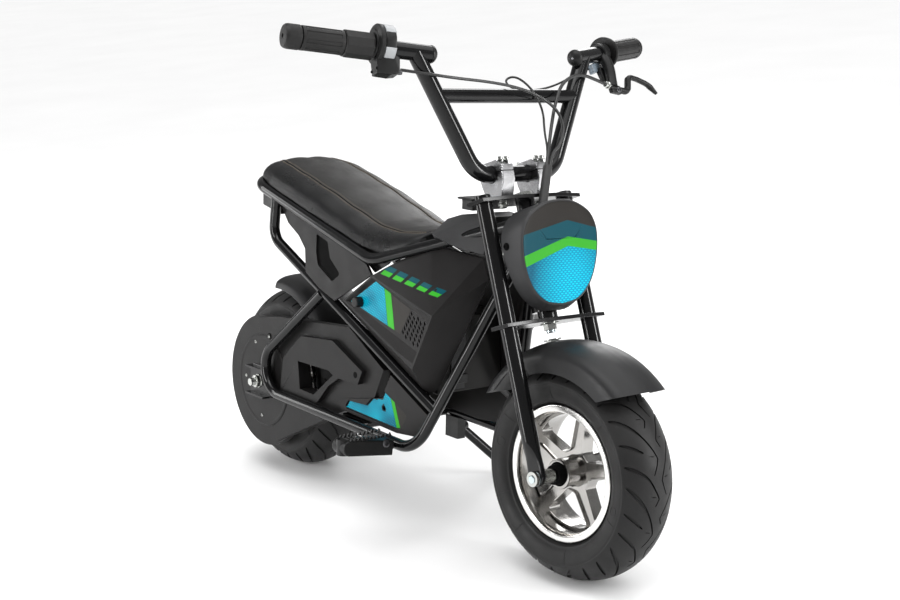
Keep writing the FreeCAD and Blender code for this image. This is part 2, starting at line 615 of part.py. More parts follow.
# ---------------------------------------------------------------- steering
steerer = cylinder("SteererRod", "Dims.SteererRadius", "Dims.SteererLength", (0, 0, dim("SteererLow")), Z)
keep("steerer", steerer, STEER_W * steerer.Placement)
CLAMP = [("-ClampRound", "-ClampHalf"), ("ClampRound", "-ClampHalf"), (26.0, -40.0), (26.0, 40.0),
         ("ClampRound", "ClampHalf"), ("-ClampRound", "ClampHalf"), (-26.0, 40.0), (-26.0, -40.0)]
for name, cell in (("lower_clamp", "LowerClampAt"), ("upper_clamp", "UpperClampAt")):
    body = plate(name, "XY_Plane", CLAMP, dim(cell), "Dims.ClampThick",
                 circles=[(0, 0, 12.9), (0, "-ForkHalf", 11.1), (0, "ForkHalf", 11.1)])
    keep(name, body, STEER_W)
for side, tag in ((-1, "right"), (1, "left")):
    y = dim("ForkHalf") * side
    leg = cylinder("ForkTube" + tag, "Dims.ForkRadius", "Dims.ForkTop - Dims.ForkLow", (0, y, dim("ForkLow")), Z)
    taper = doc.addObject("Part::Cone", "ForkTaper" + tag)
    taper.Radius1, taper.Radius2, taper.Height = 8.0, 11.0, 14.0
    taper.Placement = Placement(Vector(0, y, dim("ForkLow") - 14), Rotation())
    tongue = box("ForkTongue" + tag, (2 * dim("TongueRadius"), "Dims.TongueThick", 44.0),
                 (-dim("TongueRadius"), y - dim("TongueThick") / 2, 0))
    end = cylinder("ForkEnd" + tag, "Dims.TongueRadius", "Dims.TongueThick", (0, y - dim("TongueThick") / 2, 0))
    whole = cut("ForkCut" + tag, fuse("ForkFuse" + tag, [leg, taper, tongue, end]),
                cylinder("ForkHole" + tag, 6.1, 40.0, (0, y - 20, 0)))
    keep("fork_leg_" + tag, whole, STEER_W)
pieces = [cylinder("FrontAxleRod", "Dims.FrontAxleRadius", "2*Dims.FrontAxleHalf", (0, -dim("FrontAxleHalf"), 0))]
for side in (-1, 1):
    pieces.append(cylinder("FrontHead%d" % side, "Dims.NutRadius", 6.0, (0, 77.2 if side > 0 else -83.2, 0)))
    pieces.append(cylinder("FrontSpacer%d" % side, 9.0, 19.8, (0, 48.8 if side > 0 else -68.6, 0)))
keep("front_axle", fuse("FrontAxleFuse", pieces), STEER_W)
guard = arch([(130, 50.5), (152, 47), (164, 28), (168, 4)], 3, -47, 112)
away = [Part.makeBox(200, 160, 300, Vector(0, -80, -222)), Part.makeBox(200, 160, 300, Vector(-200, -80, -179)),
        Part.Face(Part.makePolygon([Vector(-4, -80, 136), Vector(-46, -80, 139.5), Vector(-100, -80, 108), Vector(-60, -80, 60),
                                    Vector(0, -80, 60), Vector(-4, -80, 136)])).extrude(Vector(0, 160, 0))]
for tool in away:
    guard = guard.cut(tool)
shape_part("front_fender", max(guard.Solids, key=lambda s: s.Volume), STEER_W)

# number board shell: face outline (height, half width), pan with a rim
BOARD = [(344, 14), (338, 38), (325, 58), (308, 67), (286, 69), (260, 66), (240, 58), (222, 44), (210, 22)]


def board_points(grow, back, front):
    pts = []
    for s, w in BOARD:
        s2 = 280 + (s - 280) * grow
        for sign in (-1, 1):
            pts.append((0.25 * s2 - 22 - front, sign * w * grow, s2))
            pts.append((back - (0 if s > 250 else (250 - s) * 0.05), sign * (w + 1.5) * grow, s2 - (4 if s < 250 else 0)))
    return pts


shell = hull(board_points(1.0, 15.5, 0)).cut(hull(board_points(0.95, 8, 3)))
shell = shell.cut(Part.makeCylinder(7.5, 70, Vector(34.6, -12.2, 324), Vector(-4, 31, 60)))
shell = shell.cut(Part.makeCylinder(dim("HeadOuter") + 2, 400, Vector(0, 0, 100), Z))
shape_part("number_board", max(shell.Solids, key=lambda s: s.Volume), STEER_W)

# handlebar: cross tube at the clamps, two risers, crossbar and two grip tubes
BR = dim("BarRadius")
riser = tube([(13.3, -151.3, 552.9), (-9, -69, 395.5), (-9, 69, 395.5), (13.3, 151.3, 552.9)], [42, 42], BR)
bar = [riser, Part.makeCylinder(9.5, 249, Vector(6.9, -124.5, 497.7), Y)]
GRIP_IN, GRIP_OUT = Vector(18.6, 128.8, 548.8), Vector(-24.3, 300.6, 581.1)
for side in (-1, 1):
    a = Vector(GRIP_IN.x, GRIP_IN.y * side, GRIP_IN.z)
    b = Vector(GRIP_OUT.x, GRIP_OUT.y * side, GRIP_OUT.z)
    bar.append(Part.makeCylinder(BR, (b - a).Length, a, b - a))
shape_part("handlebar", bar[0].fuse(bar[1:]), STEER_W)


def on_grip(side, start, length, radius, radius2=None):
    """Round piece around the grip tube: start and length along it from its inner end."""
    a = Vector(GRIP_IN.x, GRIP_IN.y * side, GRIP_IN.z)
    b = Vector(GRIP_OUT.x, GRIP_OUT.y * side, GRIP_OUT.z)
    e = (b - a).normalize()
    if radius2 is None:
        return Part.makeCylinder(radius, length, a + e * start, e)
    return Part.makeCone(radius, radius2, length, a + e * start, e)


def sleeve(solid, side):
    return solid.cut(on_grip(side, -5, 185.1, BR + 0.05))


GRIPS = [  # name, side, rows of (start, length, radius)
    ("throttle_grip", -1, [(83, 38.5, 17.8), (121.5, 57, 15.6), (178.5, 21.5, 15.8)]),
    ("grip_left", 1, [(84, 7, 23.0), (91, 92.5, 15.5)]),
]
for name, side, rows in GRIPS:
    solids = [on_grip(side, s0, ln, rr) for s0, ln, rr in rows]
    shape_part(name, sleeve(solids[0].fuse(solids[1:]), side), STEER_W)


def beside_grip(side, along, up, ahead):
    """Point at a distance along the grip tube, and above and ahead of its line."""
    a = Vector(GRIP_IN.x, GRIP_IN.y * side, GRIP_IN.z)
    e = (Vector(GRIP_OUT.x, GRIP_OUT.y * side, GRIP_OUT.z) - a).normalize()
    v = (Z - e * e.z).normalize()
    f = (X - e * e.x - v * v.x).normalize()
    return a + e * along + v * up + f * ahead


centre = beside_grip(-1, 57, 6, 0)
housing = Part.makeCylinder(25, 25.4, centre, beside_grip(-1, 82.4, 6, 0) - centre)
switch_box = hull([beside_grip(-1, a, u, f) for a, u, f in ((47, -17, 12), (47, -17, -12), (47, -36, 12), (47, -36, -12), (80, -12, 12),
                                                          (80, -12, -12), (78, -37, 10), (78, -37, -10), (56, -11, 12), (56, -11, -12))])
shape_part("throttle_housing", sleeve(housing.fuse(switch_box), -1), STEER_W)

# brake lever on the left: perch around the tube and a curved blade ahead of it
perch = on_grip(1, 64, 17, 15)
lever = tube([(20, 187, 507), (20, 219, 500), (20, 226, 523), (20, 243, 519), (21, 262, 511.5), (23, 276, 496)], [8, 7, 9, 24, 24], 4.5)
reach = Part.makeCylinder(7.5, 52, Vector(7, 197, 556), Vector(14, -5, -50))
shape_part("brake_lever", sleeve(perch.fuse([reach, lever]), 1), STEER_W)

# bar clamps: two split blocks on the upper plate
blocks = []
for side in (-1, 1):
    y = 32 * side - 10.5
    outline = [(-25, 360.1), (2, 360.1), (13, 384), (14, 404), (4, 412.5), (-22, 412.5), (-32, 404), (-31, 384), (-25, 360.1)]
    block = Part.Face(Part.makePolygon([Vector(a, y, b) for a, b in outline])).extrude(Vector(0, 21, 0))
    block = block.cut(Part.makeCylinder(BR + 0.05, 60, Vector(-9, 32 * side - 30, 395.5), Y))
    blocks.append(block)
shape_part("bar_clamps", Part.makeCompound(blocks), STEER_W)

# ---------------------------------------------------------------- cables
def cable(name, points, radius, size=0.45):
    """Round cable: each bend as large as its two runs allow."""
    pts = [Vector(*p) for p in points]
    radii = []
    for i in range(1, len(pts) - 1):
        u, v = pts[i - 1] - pts[i], pts[i + 1] - pts[i]
        turn = math.pi - u.getAngle(v)
        radii.append(size * min(u.Length, v.Length) / math.tan(turn / 2))
    print(name, "bend radii", [round(q, 1) for q in radii])
    solid = tube(points, radii, radius)
    shape_part(name, solid, STEER_W)
    return solid


# the cables leave the grips and meet in one sleeve that goes down into the number board
SLEEVE_TOP, SLEEVE_END = Vector(30, 24, 394), Vector(34, -7, 334)
run = (SLEEVE_TOP - SLEEVE_END).normalize()
across = Vector(0, run.z, -run.y).normalize()
ahead = across.cross(run)
shape_part("cable_sleeve", Part.makeCylinder(6.0, (SLEEVE_TOP - SLEEVE_END).Length, SLEEVE_END, run), STEER_W)


def into_sleeve(a, b):
    """Last two route points of a cable that ends on the sleeve's top face."""
    end = SLEEVE_TOP + across * a + ahead * b
    return [tuple(end + run * 24), tuple(end)]


ROUTES = [  # name, radius, side offset and front offset in the sleeve, route (ahead, left, up)
    ("throttle_cable", 2.0, 2.9, 1.2, [(8, -176, 531), (22, -146, 522), (30, -105, 514), (33, -55, 509), (33, -12, 503), (33, 26, 493),
                                      (33, 61, 472), (32, 67, 445), (31, 52, 420)]),
    ("brake_cable", 2.3, -3.0, 0.8, [(20, 178, 511), (25, 150, 518), (27, 120, 524), (25, 88, 512), (24, 68, 483), (25, 51, 451)]),
    ("switch_wire", 1.5, 0.3, -3.4, [(-2, 188, 545), (-12, 152, 533), (-18, 110, 518), (-16, 64, 512), (-12, 30, 513),
                                    (-1, 6, 522), (15, 14, 524), (20, 36, 503), (17, 50, 474), (17, 44, 446)]),
]
for name, radius, a, b, route in ROUTES:
    cable(name, route + into_sleeve(a, b), radius)

# control box between the tank cover and the head tube
body_box = box("ControlBody", (24.0, 60.0, 14.0), (436, -30, 456.5))
lid = box("ControlLid", (32.0, 70.0, 3.0), (432, -35, 470.5))
keep("control_box", fuse("ControlFuse", [body_box, lid]), LEAN)

# like pieces of one body share a node
GROUPS = [
    ("frame_rails", ["frame_rail_right", "frame_rail_left"]),
    ("frame_loops", ["frame_loop_right", "frame_loop_left"]),
    ("seat_rails", ["seat_rail_right", "seat_rail_left"]),
    ("dropouts", ["dropout_right", "dropout_left"]),
    ("foot_pegs", ["foot_peg_right", "foot_peg_left"]),
    ("side_fairings", ["side_fairing_right", "side_fairing_left"]),
    ("lower_panels", ["lower_panel_right", "lower_panel_left"]),
    ("wing_panels", ["wing_panel_right", "wing_panel_left"]),
    ("fork_legs", ["fork_leg_right", "fork_leg_left"]),
    ("fork_clamps", ["lower_clamp", "upper_clamp"]),
    ("control_cables", ["throttle_cable", "brake_cable", "switch_wire"]),
]
doc.recompute()
for name, members in GROUPS:
    found = dict(parts)
    if name == "seat_rails":  # one bent tube that runs round the tail
        group = doc.addObject("Part::MultiFuse", "G_" + name)
        group.Shapes = [found[m] for m in members]
    else:
        group = doc.addObject("Part::Compound", "G_" + name)
        group.Links = [found[m] for m in members]
    group.Label = name
    for i, one in enumerate(members):
        for other in members[i + 1:]:
            if name != "seat_rails" and found[one].Shape.distToShape(found[other].Shape)[0] < 0.2:
                raise RuntimeError("%s and %s: %.2f mm" % (one, other, found[one].Shape.distToShape(found[other].Shape)[0]))
    parts = [q for q in parts if q[0] not in members] + [(name, group)]

# ---------------------------------------------------------------- checks and files
doc.recompute()
bad = []
for obj in doc.Objects:
    if "Invalid" in obj.State or "Error" in obj.State:
        bad.append("%s %s" % (obj.Name, obj.State))
seen = set()
for name, obj in parts:
    if name in seen:
        bad.append("twice " + name)
    seen.add(name)
    if obj.Shape.isNull() or not obj.Shape.isValid() or obj.Shape.Volume <= 0:
        bad.append("shape " + name)
if bad:
    raise RuntimeError("; ".join(bad))
os.makedirs("parts", exist_ok=True)
total = FreeCAD.BoundBox()
for name, obj in parts:
    obj.Shape.exportStep("parts/%s.step" % name)
    total.add(obj.Shape.BoundBox)
print(len(parts), "nodes")
print("box x %.1f %.1f  y %.1f %.1f  z %.1f %.1f" % (total.XMin, total.XMax, total.YMin, total.YMax, total.ZMin, total.ZMax))
print("lean placement", LEAN)
print("steer placement", STEER_W)
print("stand pivot", PIVOT, "hinge", HINGE, "fold", FOLD)
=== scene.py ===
import math

import bmesh
import bpy
import numpy as np
from mathutils import Matrix, Vector, geometry


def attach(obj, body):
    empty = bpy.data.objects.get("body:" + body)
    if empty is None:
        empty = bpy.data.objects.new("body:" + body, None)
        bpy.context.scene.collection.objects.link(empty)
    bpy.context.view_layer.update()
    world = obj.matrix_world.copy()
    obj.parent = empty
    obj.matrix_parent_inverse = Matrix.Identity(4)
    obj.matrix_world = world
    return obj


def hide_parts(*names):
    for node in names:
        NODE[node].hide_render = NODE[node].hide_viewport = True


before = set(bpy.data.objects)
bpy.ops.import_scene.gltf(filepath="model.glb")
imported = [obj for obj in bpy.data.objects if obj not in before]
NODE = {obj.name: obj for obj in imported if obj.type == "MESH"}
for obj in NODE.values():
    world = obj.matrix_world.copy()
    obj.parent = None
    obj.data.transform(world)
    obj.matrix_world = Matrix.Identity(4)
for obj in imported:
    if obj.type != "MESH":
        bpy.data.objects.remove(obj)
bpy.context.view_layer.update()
rad = math.radians
MM = 0.001


def turn(angle, axis):
    return Matrix.Rotation(rad(angle), 4, axis)


def shift(x, y, z):
    return Matrix.Translation((x, y, z))


# placements of the bike (leaning on its stand), the steering and the rear wheel
LEAN = shift(-0.32667, -0.07948, 0.000455143) @ turn(-7.5, "X") @ turn(0.021526, "Y")
STEER = LEAN @ shift(0.6533, 0, 0.141) @ turn(-19.85, "Y") @ turn(3.4, "Z")
REAR = LEAN @ shift(0, 0, 0.141)

# ---------------------------------------------------------------- camera
scene = bpy.context.scene
cam_data = bpy.data.cameras.new("camera")
cam_data.lens, cam_data.sensor_width = 64.2, 36.0
cam_data.shift_x, cam_data.shift_y = 0.01128, -0.06536
cam_data.clip_start, cam_data.clip_end = 0.05, 200.0
cam = bpy.data.objects.new("camera", cam_data)
scene.collection.objects.link(cam)
R3 = LEAN.to_3x3()
right = (R3 @ Vector((0.60529, 0.79576, 0.01984))).normalized()
ahead = (R3 @ Vector((-0.78648, 0.60170, -0.13930))).normalized()
up = right.cross(ahead).normalized()
cam.matrix_world = Matrix((right, up, -ahead)).transposed().to_4x4()
cam.matrix_world.translation = LEAN @ Vector((2.13102, -1.36257, 0.71545))
scene.camera = cam

# ---------------------------------------------------------------- materials
MATS = {}


def nodes_of(name):
    m = bpy.data.materials.new(name)
    m.use_nodes = True
    nt = m.node_tree
    bsdf = nt.nodes["Principled BSDF"]
    MATS[name] = m
    return m, nt, bsdf


def add(nt, kind, **values):
    n = nt.nodes.new(kind)
    for k, v in values.items():
        if k in ("operation", "data_type", "feature", "distance", "blend_type", "vector_type", "noise_dimensions",
                 "interpolation_type", "clamp", "invert", "distribution", "wave_type", "bands_direction", "rings_direction"):
            setattr(n, k, v)
    return n


def ranged(nt, value, lo, hi, from_lo=0.0, from_hi=1.0):
    n = add(nt, "ShaderNodeMapRange")
    nt.links.new(value, n.inputs["Value"])
    n.inputs["From Min"].default_value, n.inputs["From Max"].default_value = from_lo, from_hi
    n.inputs["To Min"].default_value, n.inputs["To Max"].default_value = lo, hi
    return n.outputs["Result"]


def noise(nt, scale, detail=4.0, rough=0.55, stretch=None, seed=(0, 0, 0)):
    tex = add(nt, "ShaderNodeTexCoord")
    src = tex.outputs["Object"]
    mp = add(nt, "ShaderNodeMapping")
    mp.inputs["Location"].default_value = seed
    if stretch:
        mp.inputs["Scale"].default_value = stretch
    nt.links.new(src, mp.inputs["Vector"])
    n = add(nt, "ShaderNodeTexNoise")
    n.inputs["Scale"].default_value, n.inputs["Detail"].default_value = scale, detail
    n.inputs["Roughness"].default_value = rough
    nt.links.new(mp.outputs["Vector"], n.inputs["Vector"])
    return n.outputs["Fac"]


def mixed(nt, fac, a, b):
    n = add(nt, "ShaderNodeMix", data_type="RGBA")
    if isinstance(fac, (int, float)):
        n.inputs[0].default_value = fac
    else:
        nt.links.new(fac, n.inputs[0])
    for sock, v in ((n.inputs[6], a), (n.inputs[7], b)):
        if isinstance(v, (tuple, list)):
            sock.default_value = (*v[:3], 1.0)
        else:
            nt.links.new(v, sock)
    return n.outputs[2]


def finish_mat(nt, bsdf, color=None, rough=None, metal=0.0, ior=1.5, coat=0.0, coat_rough=0.08, sheen=0.0, bump=None, bump_mm=0.05, strength=1.0):
    if color is not None:
        nt.links.new(color, bsdf.inputs["Base Color"])
    if rough is not None:
        nt.links.new(rough, bsdf.inputs["Roughness"])
    bsdf.inputs["Metallic"].default_value = metal
    bsdf.inputs["IOR"].default_value = ior
    bsdf.inputs["Coat Weight"].default_value = coat
    bsdf.inputs["Coat Roughness"].default_value = coat_rough
    if sheen:
        bsdf.inputs["Sheen Weight"].default_value = sheen
        bsdf.inputs["Sheen Roughness"].default_value = 0.4
    if bump is not None:
        b = add(nt, "ShaderNodeBump")
        b.inputs["Strength"].default_value = strength
        b.inputs["Distance"].default_value = bump_mm * MM
        nt.links.new(bump, b.inputs["Height"])
        nt.links.new(b.outputs["Normal"], bsdf.inputs["Normal"])


def plain(name, color, rough, spread=0.12, rspread=0.05, metal=0.0, grain=900.0, grain_mm=0.03, blotch=18.0, stretch=None, **kw):
    """Moulded, painted or cast surface: soft colour blotches, uneven gloss and a fine grain."""
    m, nt, bsdf = nodes_of(name)
    big = noise(nt, blotch, 5.0)
    lo = tuple(c * (1 - spread) for c in color)
    hi = tuple(min(1.0, c * (1 + spread)) for c in color)
    col = mixed(nt, ranged(nt, big, 0, 1, 0.3, 0.7), lo, hi)
    rg = ranged(nt, noise(nt, blotch * 2.3, 6.0, seed=(3, 1, 2)), rough - rspread, rough + rspread, 0.3, 0.7)
    fine = noise(nt, grain, 3.0, 0.6, stretch)
    finish_mat(nt, bsdf, col, rg, metal, bump=fine, bump_mm=grain_mm, **kw)
    return m


plain("tube_black", (0.0045, 0.0045, 0.0048), 0.15, rspread=0.03, grain=260, grain_mm=0.010, ior=1.36)
plain("frame_black", (0.0055, 0.0055, 0.0058), 0.22, grain=300, grain_mm=0.012, ior=1.36)
plain("cover_dark", (0.0095, 0.0090, 0.0090), 0.38, grain=1500, grain_mm=0.05, ior=1.24)
plain("cover_soft", (0.0115, 0.0107, 0.0107), 0.38, grain=1500, grain_mm=0.05, ior=1.24)
plain("cover_grey", (0.034, 0.034, 0.035), 0.45, grain=1500, grain_mm=0.05, ior=1.28)
plain("fender_grey", (0.017, 0.017, 0.0175), 0.38, grain=1400, grain_mm=0.035, ior=1.30)
plain("black_plastic", (0.008, 0.008, 0.008), 0.38, grain=1200, grain_mm=0.05, ior=1.32)
plain("matt_black", (0.002, 0.002, 0.002), 0.70, grain=900, grain_mm=0.08, ior=1.15)
plain("battery_case", (0.0125, 0.0120, 0.0115), 0.42, grain=1000, grain_mm=0.03, ior=1.2)
plain("webbing", (0.020, 0.020, 0.021), 0.72, grain=1800, grain_mm=0.12, stretch=(1, 1, 3))
plain("switch_blue", (0.16, 0.20, 0.24), 0.35, grain=1000, grain_mm=0.03)
plain("switch_grey", (0.33, 0.34, 0.35), 0.38, grain=1100, grain_mm=0.03)
plain("zinc", (0.48, 0.49, 0.47), 0.24, metal=1.0, spread=0.10, rspread=0.08, grain=600, grain_mm=0.02)
plain("zinc_blue", (0.55, 0.63, 0.66), 0.24, metal=1.0, spread=0.12, rspread=0.08, grain=600, grain_mm=0.02)
plain("steel_dark", (0.10, 0.10, 0.105), 0.36, metal=1.0, spread=0.2, rspread=0.1, grain=700, grain_mm=0.03)
plain("chain_steel", (0.17, 0.165, 0.155), 0.38, metal=1.0, spread=0.25, rspread=0.1, grain=700, grain_mm=0.03)
plain("cable_black", (0.010, 0.010, 0.010), 0.38, grain=1500, grain_mm=0.03)
plain("sleeve_black", (0.010, 0.010, 0.010), 0.55, grain=1500, grain_mm=0.10)
plain("thread_light", (0.20, 0.165, 0.125), 0.70, grain=2500, grain_mm=0.10)
plain("thread_dark", (0.05, 0.05, 0.05), 0.70, grain=2500, grain_mm=0.10)


def aluminium(name, color, rough, spin=False):
    m, nt, bsdf = nodes_of(name)
    big = noise(nt, 30, 6.0)
    col = mixed(nt, ranged(nt, big, 0, 1, 0.3, 0.7), tuple(c * 0.90 for c in color), color)
    rg = ranged(nt, noise(nt, 60, 6.0, 0.65, seed=(1, 5, 2)), rough - 0.05, rough + 0.10, 0.3, 0.7)
    brush = noise(nt, 90, 4.0, 0.6, (1, 26, 1) if spin else (3, 3, 16))
    finish_mat(nt, bsdf, col, rg, 1.0, bump=brush, bump_mm=0.010)
    return m


aluminium("polished", (0.40, 0.39, 0.375), 0.16, True)
aluminium("lip_bright", (0.78, 0.77, 0.75), 0.22, True)
aluminium("clamp_alu", (0.52, 0.52, 0.53), 0.20)


def rubber(name, color, rough, lines=False):
    m, nt, bsdf = nodes_of(name)
    big = noise(nt, 14, 6.0)
    col = mixed(nt, ranged(nt, big, 0, 1, 0.35, 0.7), tuple(c * 0.8 for c in color), tuple(c * 1.25 for c in color))
    rg = ranged(nt, noise(nt, 40, 6.0, seed=(2, 2, 5)), rough - 0.08, rough + 0.08, 0.3, 0.7)
    finish_mat(nt, bsdf, col, rg, bump=noise(nt, 1300, 4.0, 0.65), bump_mm=0.05, ior=1.32)
    return m


rubber("tyre_rubber", (0.0125, 0.0122, 0.0122), 0.50)
rubber("grip_rubber", (0.0125, 0.0122, 0.0120), 0.48)


def vinyl(name, color, rough, crease=0.0):
    """Sewn vinyl: small pebbled grain, finer pores, and soft creases."""
    m, nt, bsdf = nodes_of(name)
    tex = add(nt, "ShaderNodeTexCoord")
    vor = add(nt, "ShaderNodeTexVoronoi", feature="DISTANCE_TO_EDGE")
    vor.inputs["Scale"].default_value = 780.0
    nt.links.new(tex.outputs["Object"], vor.inputs["Vector"])
    cell = ranged(nt, vor.outputs["Distance"], 0.0, 1.0, 0.0, 0.12)
    big = noise(nt, 16, 5.0)
    col = mixed(nt, ranged(nt, big, 0, 1, 0.3, 0.75), tuple(c * 0.85 for c in color), tuple(c * 1.3 for c in color))
    rg = ranged(nt, noise(nt, 34, 6.0, seed=(4, 2, 1)), rough - 0.06, rough + 0.07, 0.3, 0.7)
    wav = noise(nt, 26, 3.0, 0.5, (1.0, 1.6, 1.0))
    mix = add(nt, "ShaderNodeMath", operation="MULTIPLY_ADD")
    nt.links.new(wav, mix.inputs[0])
    mix.inputs[1].default_value = 14.0 * crease
    nt.links.new(cell, mix.inputs[2])
    finish_mat(nt, bsdf, col, rg, bump=mix.outputs[0], bump_mm=0.055, ior=1.34)
    return m


vinyl("seat_vinyl", (0.0125, 0.0118, 0.0110), 0.40, 1.0)
vinyl("seat_side", (0.0035, 0.0035, 0.0038), 0.30, 0.3)


# ---------------------------------------------------------------- mesh helpers
def obj_from(name, verts, faces, world=None, mats=("black_plastic",), fmat=None, smooth=35.0, merge=0.0):
    me = bpy.data.meshes.new(name)
    me.from_pydata([tuple(v) for v in verts], [], [tuple(f) for f in faces])
    for k in mats:
        me.materials.append(MATS[k])
    if fmat is not None:
        me.polygons.foreach_set("material_index", list(fmat))
    bm = bmesh.new()
    bm.from_mesh(me)
    if merge:
        bmesh.ops.remove_doubles(bm, verts=bm.verts, dist=merge)
    bmesh.ops.recalc_face_normals(bm, faces=bm.faces)
    lim = rad(smooth)
    for f in bm.faces:
        f.smooth = smooth > 0
    for e in bm.edges:
        e.smooth = len(e.link_faces) == 2 and e.calc_face_angle(9.0) < lim
    bm.to_mesh(me)
    bm.free()
    me.update()
    o = bpy.data.objects.new(name, me)
    scene.collection.objects.link(o)
    if world is not None:
        o.matrix_world = world
    return o


def done(o, body, replaces=()):
    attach(o, body)
    if replaces:
        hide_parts(*replaces)
    return o


def weighted(o):
    m = o.modifiers.new("normals", "WEIGHTED_NORMAL")
    m.keep_sharp = True
    m.weight = 90
    return o


def bevel(o, width, segments=2, angle=30):
    b = o.modifiers.new("edges", "BEVEL")
    b.width, b.segments, b.limit_method, b.angle_limit = width, segments, "ANGLE", rad(angle)
    b.use_clamp_overlap = True
    b.miter_outer = "MITER_ARC"
    return o


class Batch:
    """Many small parts in one mesh, each with its own material."""

    def __init__(self, name, mats, world=None):
        self.name, self.mats, self.world = name, list(mats), world
        self.v, self.f, self.m = [], [], []

    def put(self, shape, mat, m=None):
        v, f = shape
        base = len(self.v)
        m = m or Matrix.Identity(4)
        self.v += [m @ Vector(p) for p in v]
        self.f += [[i + base for i in q] for q in f]
        if mat not in self.mats:
            self.mats.append(mat)
        self.m += [self.mats.index(mat)] * len(f)
        return self

    def make(self, body, replaces=(), smooth=35.0, wn=True):
        o = obj_from(self.name, [p * MM for p in self.v], self.f, self.world, self.mats, self.m, smooth)
        if wn:
            weighted(o)
        return done(o, body, replaces)


def lathe(rows, n=48, start=0.0, sweep=360.0):
    """Turned shape about the Z axis; rows of (radius, height). Ends with radius 0 close."""
    full = abs(sweep - 360) < 1e-6
    v, f, idx = [], [], []
    cols = n if full else n + 1
    for r, h in rows:
        if r < 1e-6:
            v.append((0, 0, h))
            idx.append([len(v) - 1] * cols)
        else:
            line = []
            for k in range(cols):
                a = rad(start + sweep * k / n)
                v.append((r * math.cos(a), r * math.sin(a), h))
                line.append(len(v) - 1)
            idx.append(line)
    for i in range(len(rows) - 1):
        for k in range(cols if full else cols - 1):
            a, b = idx[i][k], idx[i][(k + 1) % cols]
            c, d = idx[i + 1][(k + 1) % cols], idx[i + 1][k]
            q = []
            for x in (a, b, c, d):
                if x not in q:
                    q.append(x)
            if len(q) > 2:
                f.append(q)
    return v, f


def aim(at, way, spin=0.0):
    """Places a shape's Z axis along way, its origin at at."""
    z = Vector(way).normalized()
    q = z.to_track_quat("Z", "Y").to_matrix().to_4x4()
    return Matrix.Translation(Vector(at)) @ q @ turn(spin, "Z")


def loop_rings(rings, cap_a=True, cap_b=True, closed=False):
    """Skins rings of equal length."""
    n = len(rings[0])
    v = [p for r in rings for p in r]
    f = []
    count = len(rings)
    for i in range(count if closed else count - 1):
        a, b = i * n, ((i + 1) % count) * n
        for k in range(n):
            f.append([a + k, a + (k + 1) % n, b + (k + 1) % n, b + k])
    if not closed:
        if cap_a:
            f.append(list(range(n))[::-1])
        if cap_b:
            f.append([(count - 1) * n + k for k in range(n)])
    return v, f


def rounded_path(points, radii, step=9.0):
    """3-D polyline with its corners turned into arcs."""
    pts = [Vector(p) for p in points]
    out = [pts[0]]
    for i in range(1, len(pts) - 1):
        r = radii[i - 1] if isinstance(radii, (list, tuple)) else radii
        a, b = (pts[i - 1] - pts[i]).normalized(), (pts[i + 1] - pts[i]).normalized()
        ang = a.angle(b)
        if r <= 0 or abs(math.pi - ang) < 1e-3:
            out.append(pts[i])
            continue
        t = min(r / math.tan(ang / 2), 0.49 * (pts[i - 1] - pts[i]).length, 0.49 * (pts[i + 1] - pts[i]).length)
        r = t * math.tan(ang / 2)
        mid = (a + b).normalized()
        c = pts[i] + mid * (r / math.sin(ang / 2))
        p, q = pts[i] + a * t, pts[i] + b * t
        u, w = p - c, q - c
        total = u.angle(w)
        k = max(2, int(math.degrees(total) / step))
        axis = u.cross(w).normalized()
        for j in range(k + 1):
            out.append(c + Matrix.Rotation(total * j / k, 3, axis) @ u)
    out.append(pts[-1])
    return out


def sweep(path, radius, n=20, scale=None, squash=None):
    """Round tube along a path; radius is a number or one for each point."""
    path = [Vector(p) for p in path]
    tang = []
    for i in range(len(path)):
        a = path[max(0, i - 1)]
        b = path[min(len(path) - 1, i + 1)]
        tang.append((b - a).normalized())
    ref = Vector((0, 0, 1)) if abs(tang[0].z) < 0.9 else Vector((1, 0, 0))
    u = (ref - tang[0] * ref.dot(tang[0])).normalized()
    rings = []
    for i, p in enumerate(path):
        u = (u - tang[i] * u.dot(tang[i])).normalized()
        w = tang[i].cross(u)
        r = radius[i] if isinstance(radius, (list, tuple)) else radius
        ru, rw = (r, r) if squash is None else (r * squash[0], r * squash[1])
        rings.append([p + u * (ru * math.cos(2 * math.pi * k / n)) + w * (rw * math.sin(2 * math.pi * k / n)) for k in range(n)])
    return loop_rings(rings)


def round2(points, radii, step=12.0):
    """2-D outline (closed) with rounded corners."""
    n = len(points)
    out = []
    for i in range(n):
        p = Vector(points[i])
        a = (Vector(points[i - 1]) - p)
        b = (Vector(points[(i + 1) % n]) - p)
        r = radii[i] if isinstance(radii, (list, tuple)) else radii
        la, lb = a.length, b.length
        a, b = a.normalized(), b.normalized()
        ang = a.angle(b)
        if r <= 0 or ang > math.pi - 0.03:
            out.append(p)
            continue
        t = min(r / math.tan(ang / 2), 0.48 * la, 0.48 * lb)
        r = t * math.tan(ang / 2)
        c = p + (a + b).normalized() * (r / math.sin(ang / 2))
        s, e = p + a * t - c, p + b * t - c
        tot = s.angle(e)
        sign = 1 if s.x * e.y - s.y * e.x > 0 else -1
        k = max(2, int(math.degrees(tot) / step))
        for j in range(k + 1):
            th = sign * tot * j / k
            out.append(c + Vector((s.x * math.cos(th) - s.y * math.sin(th), s.x * math.sin(th) + s.y * math.cos(th))))
    return out


def area2(loop):
    return 0.5 * sum(loop[i - 1][0] * loop[i][1] - loop[i][0] * loop[i - 1][1] for i in range(len(loop)))


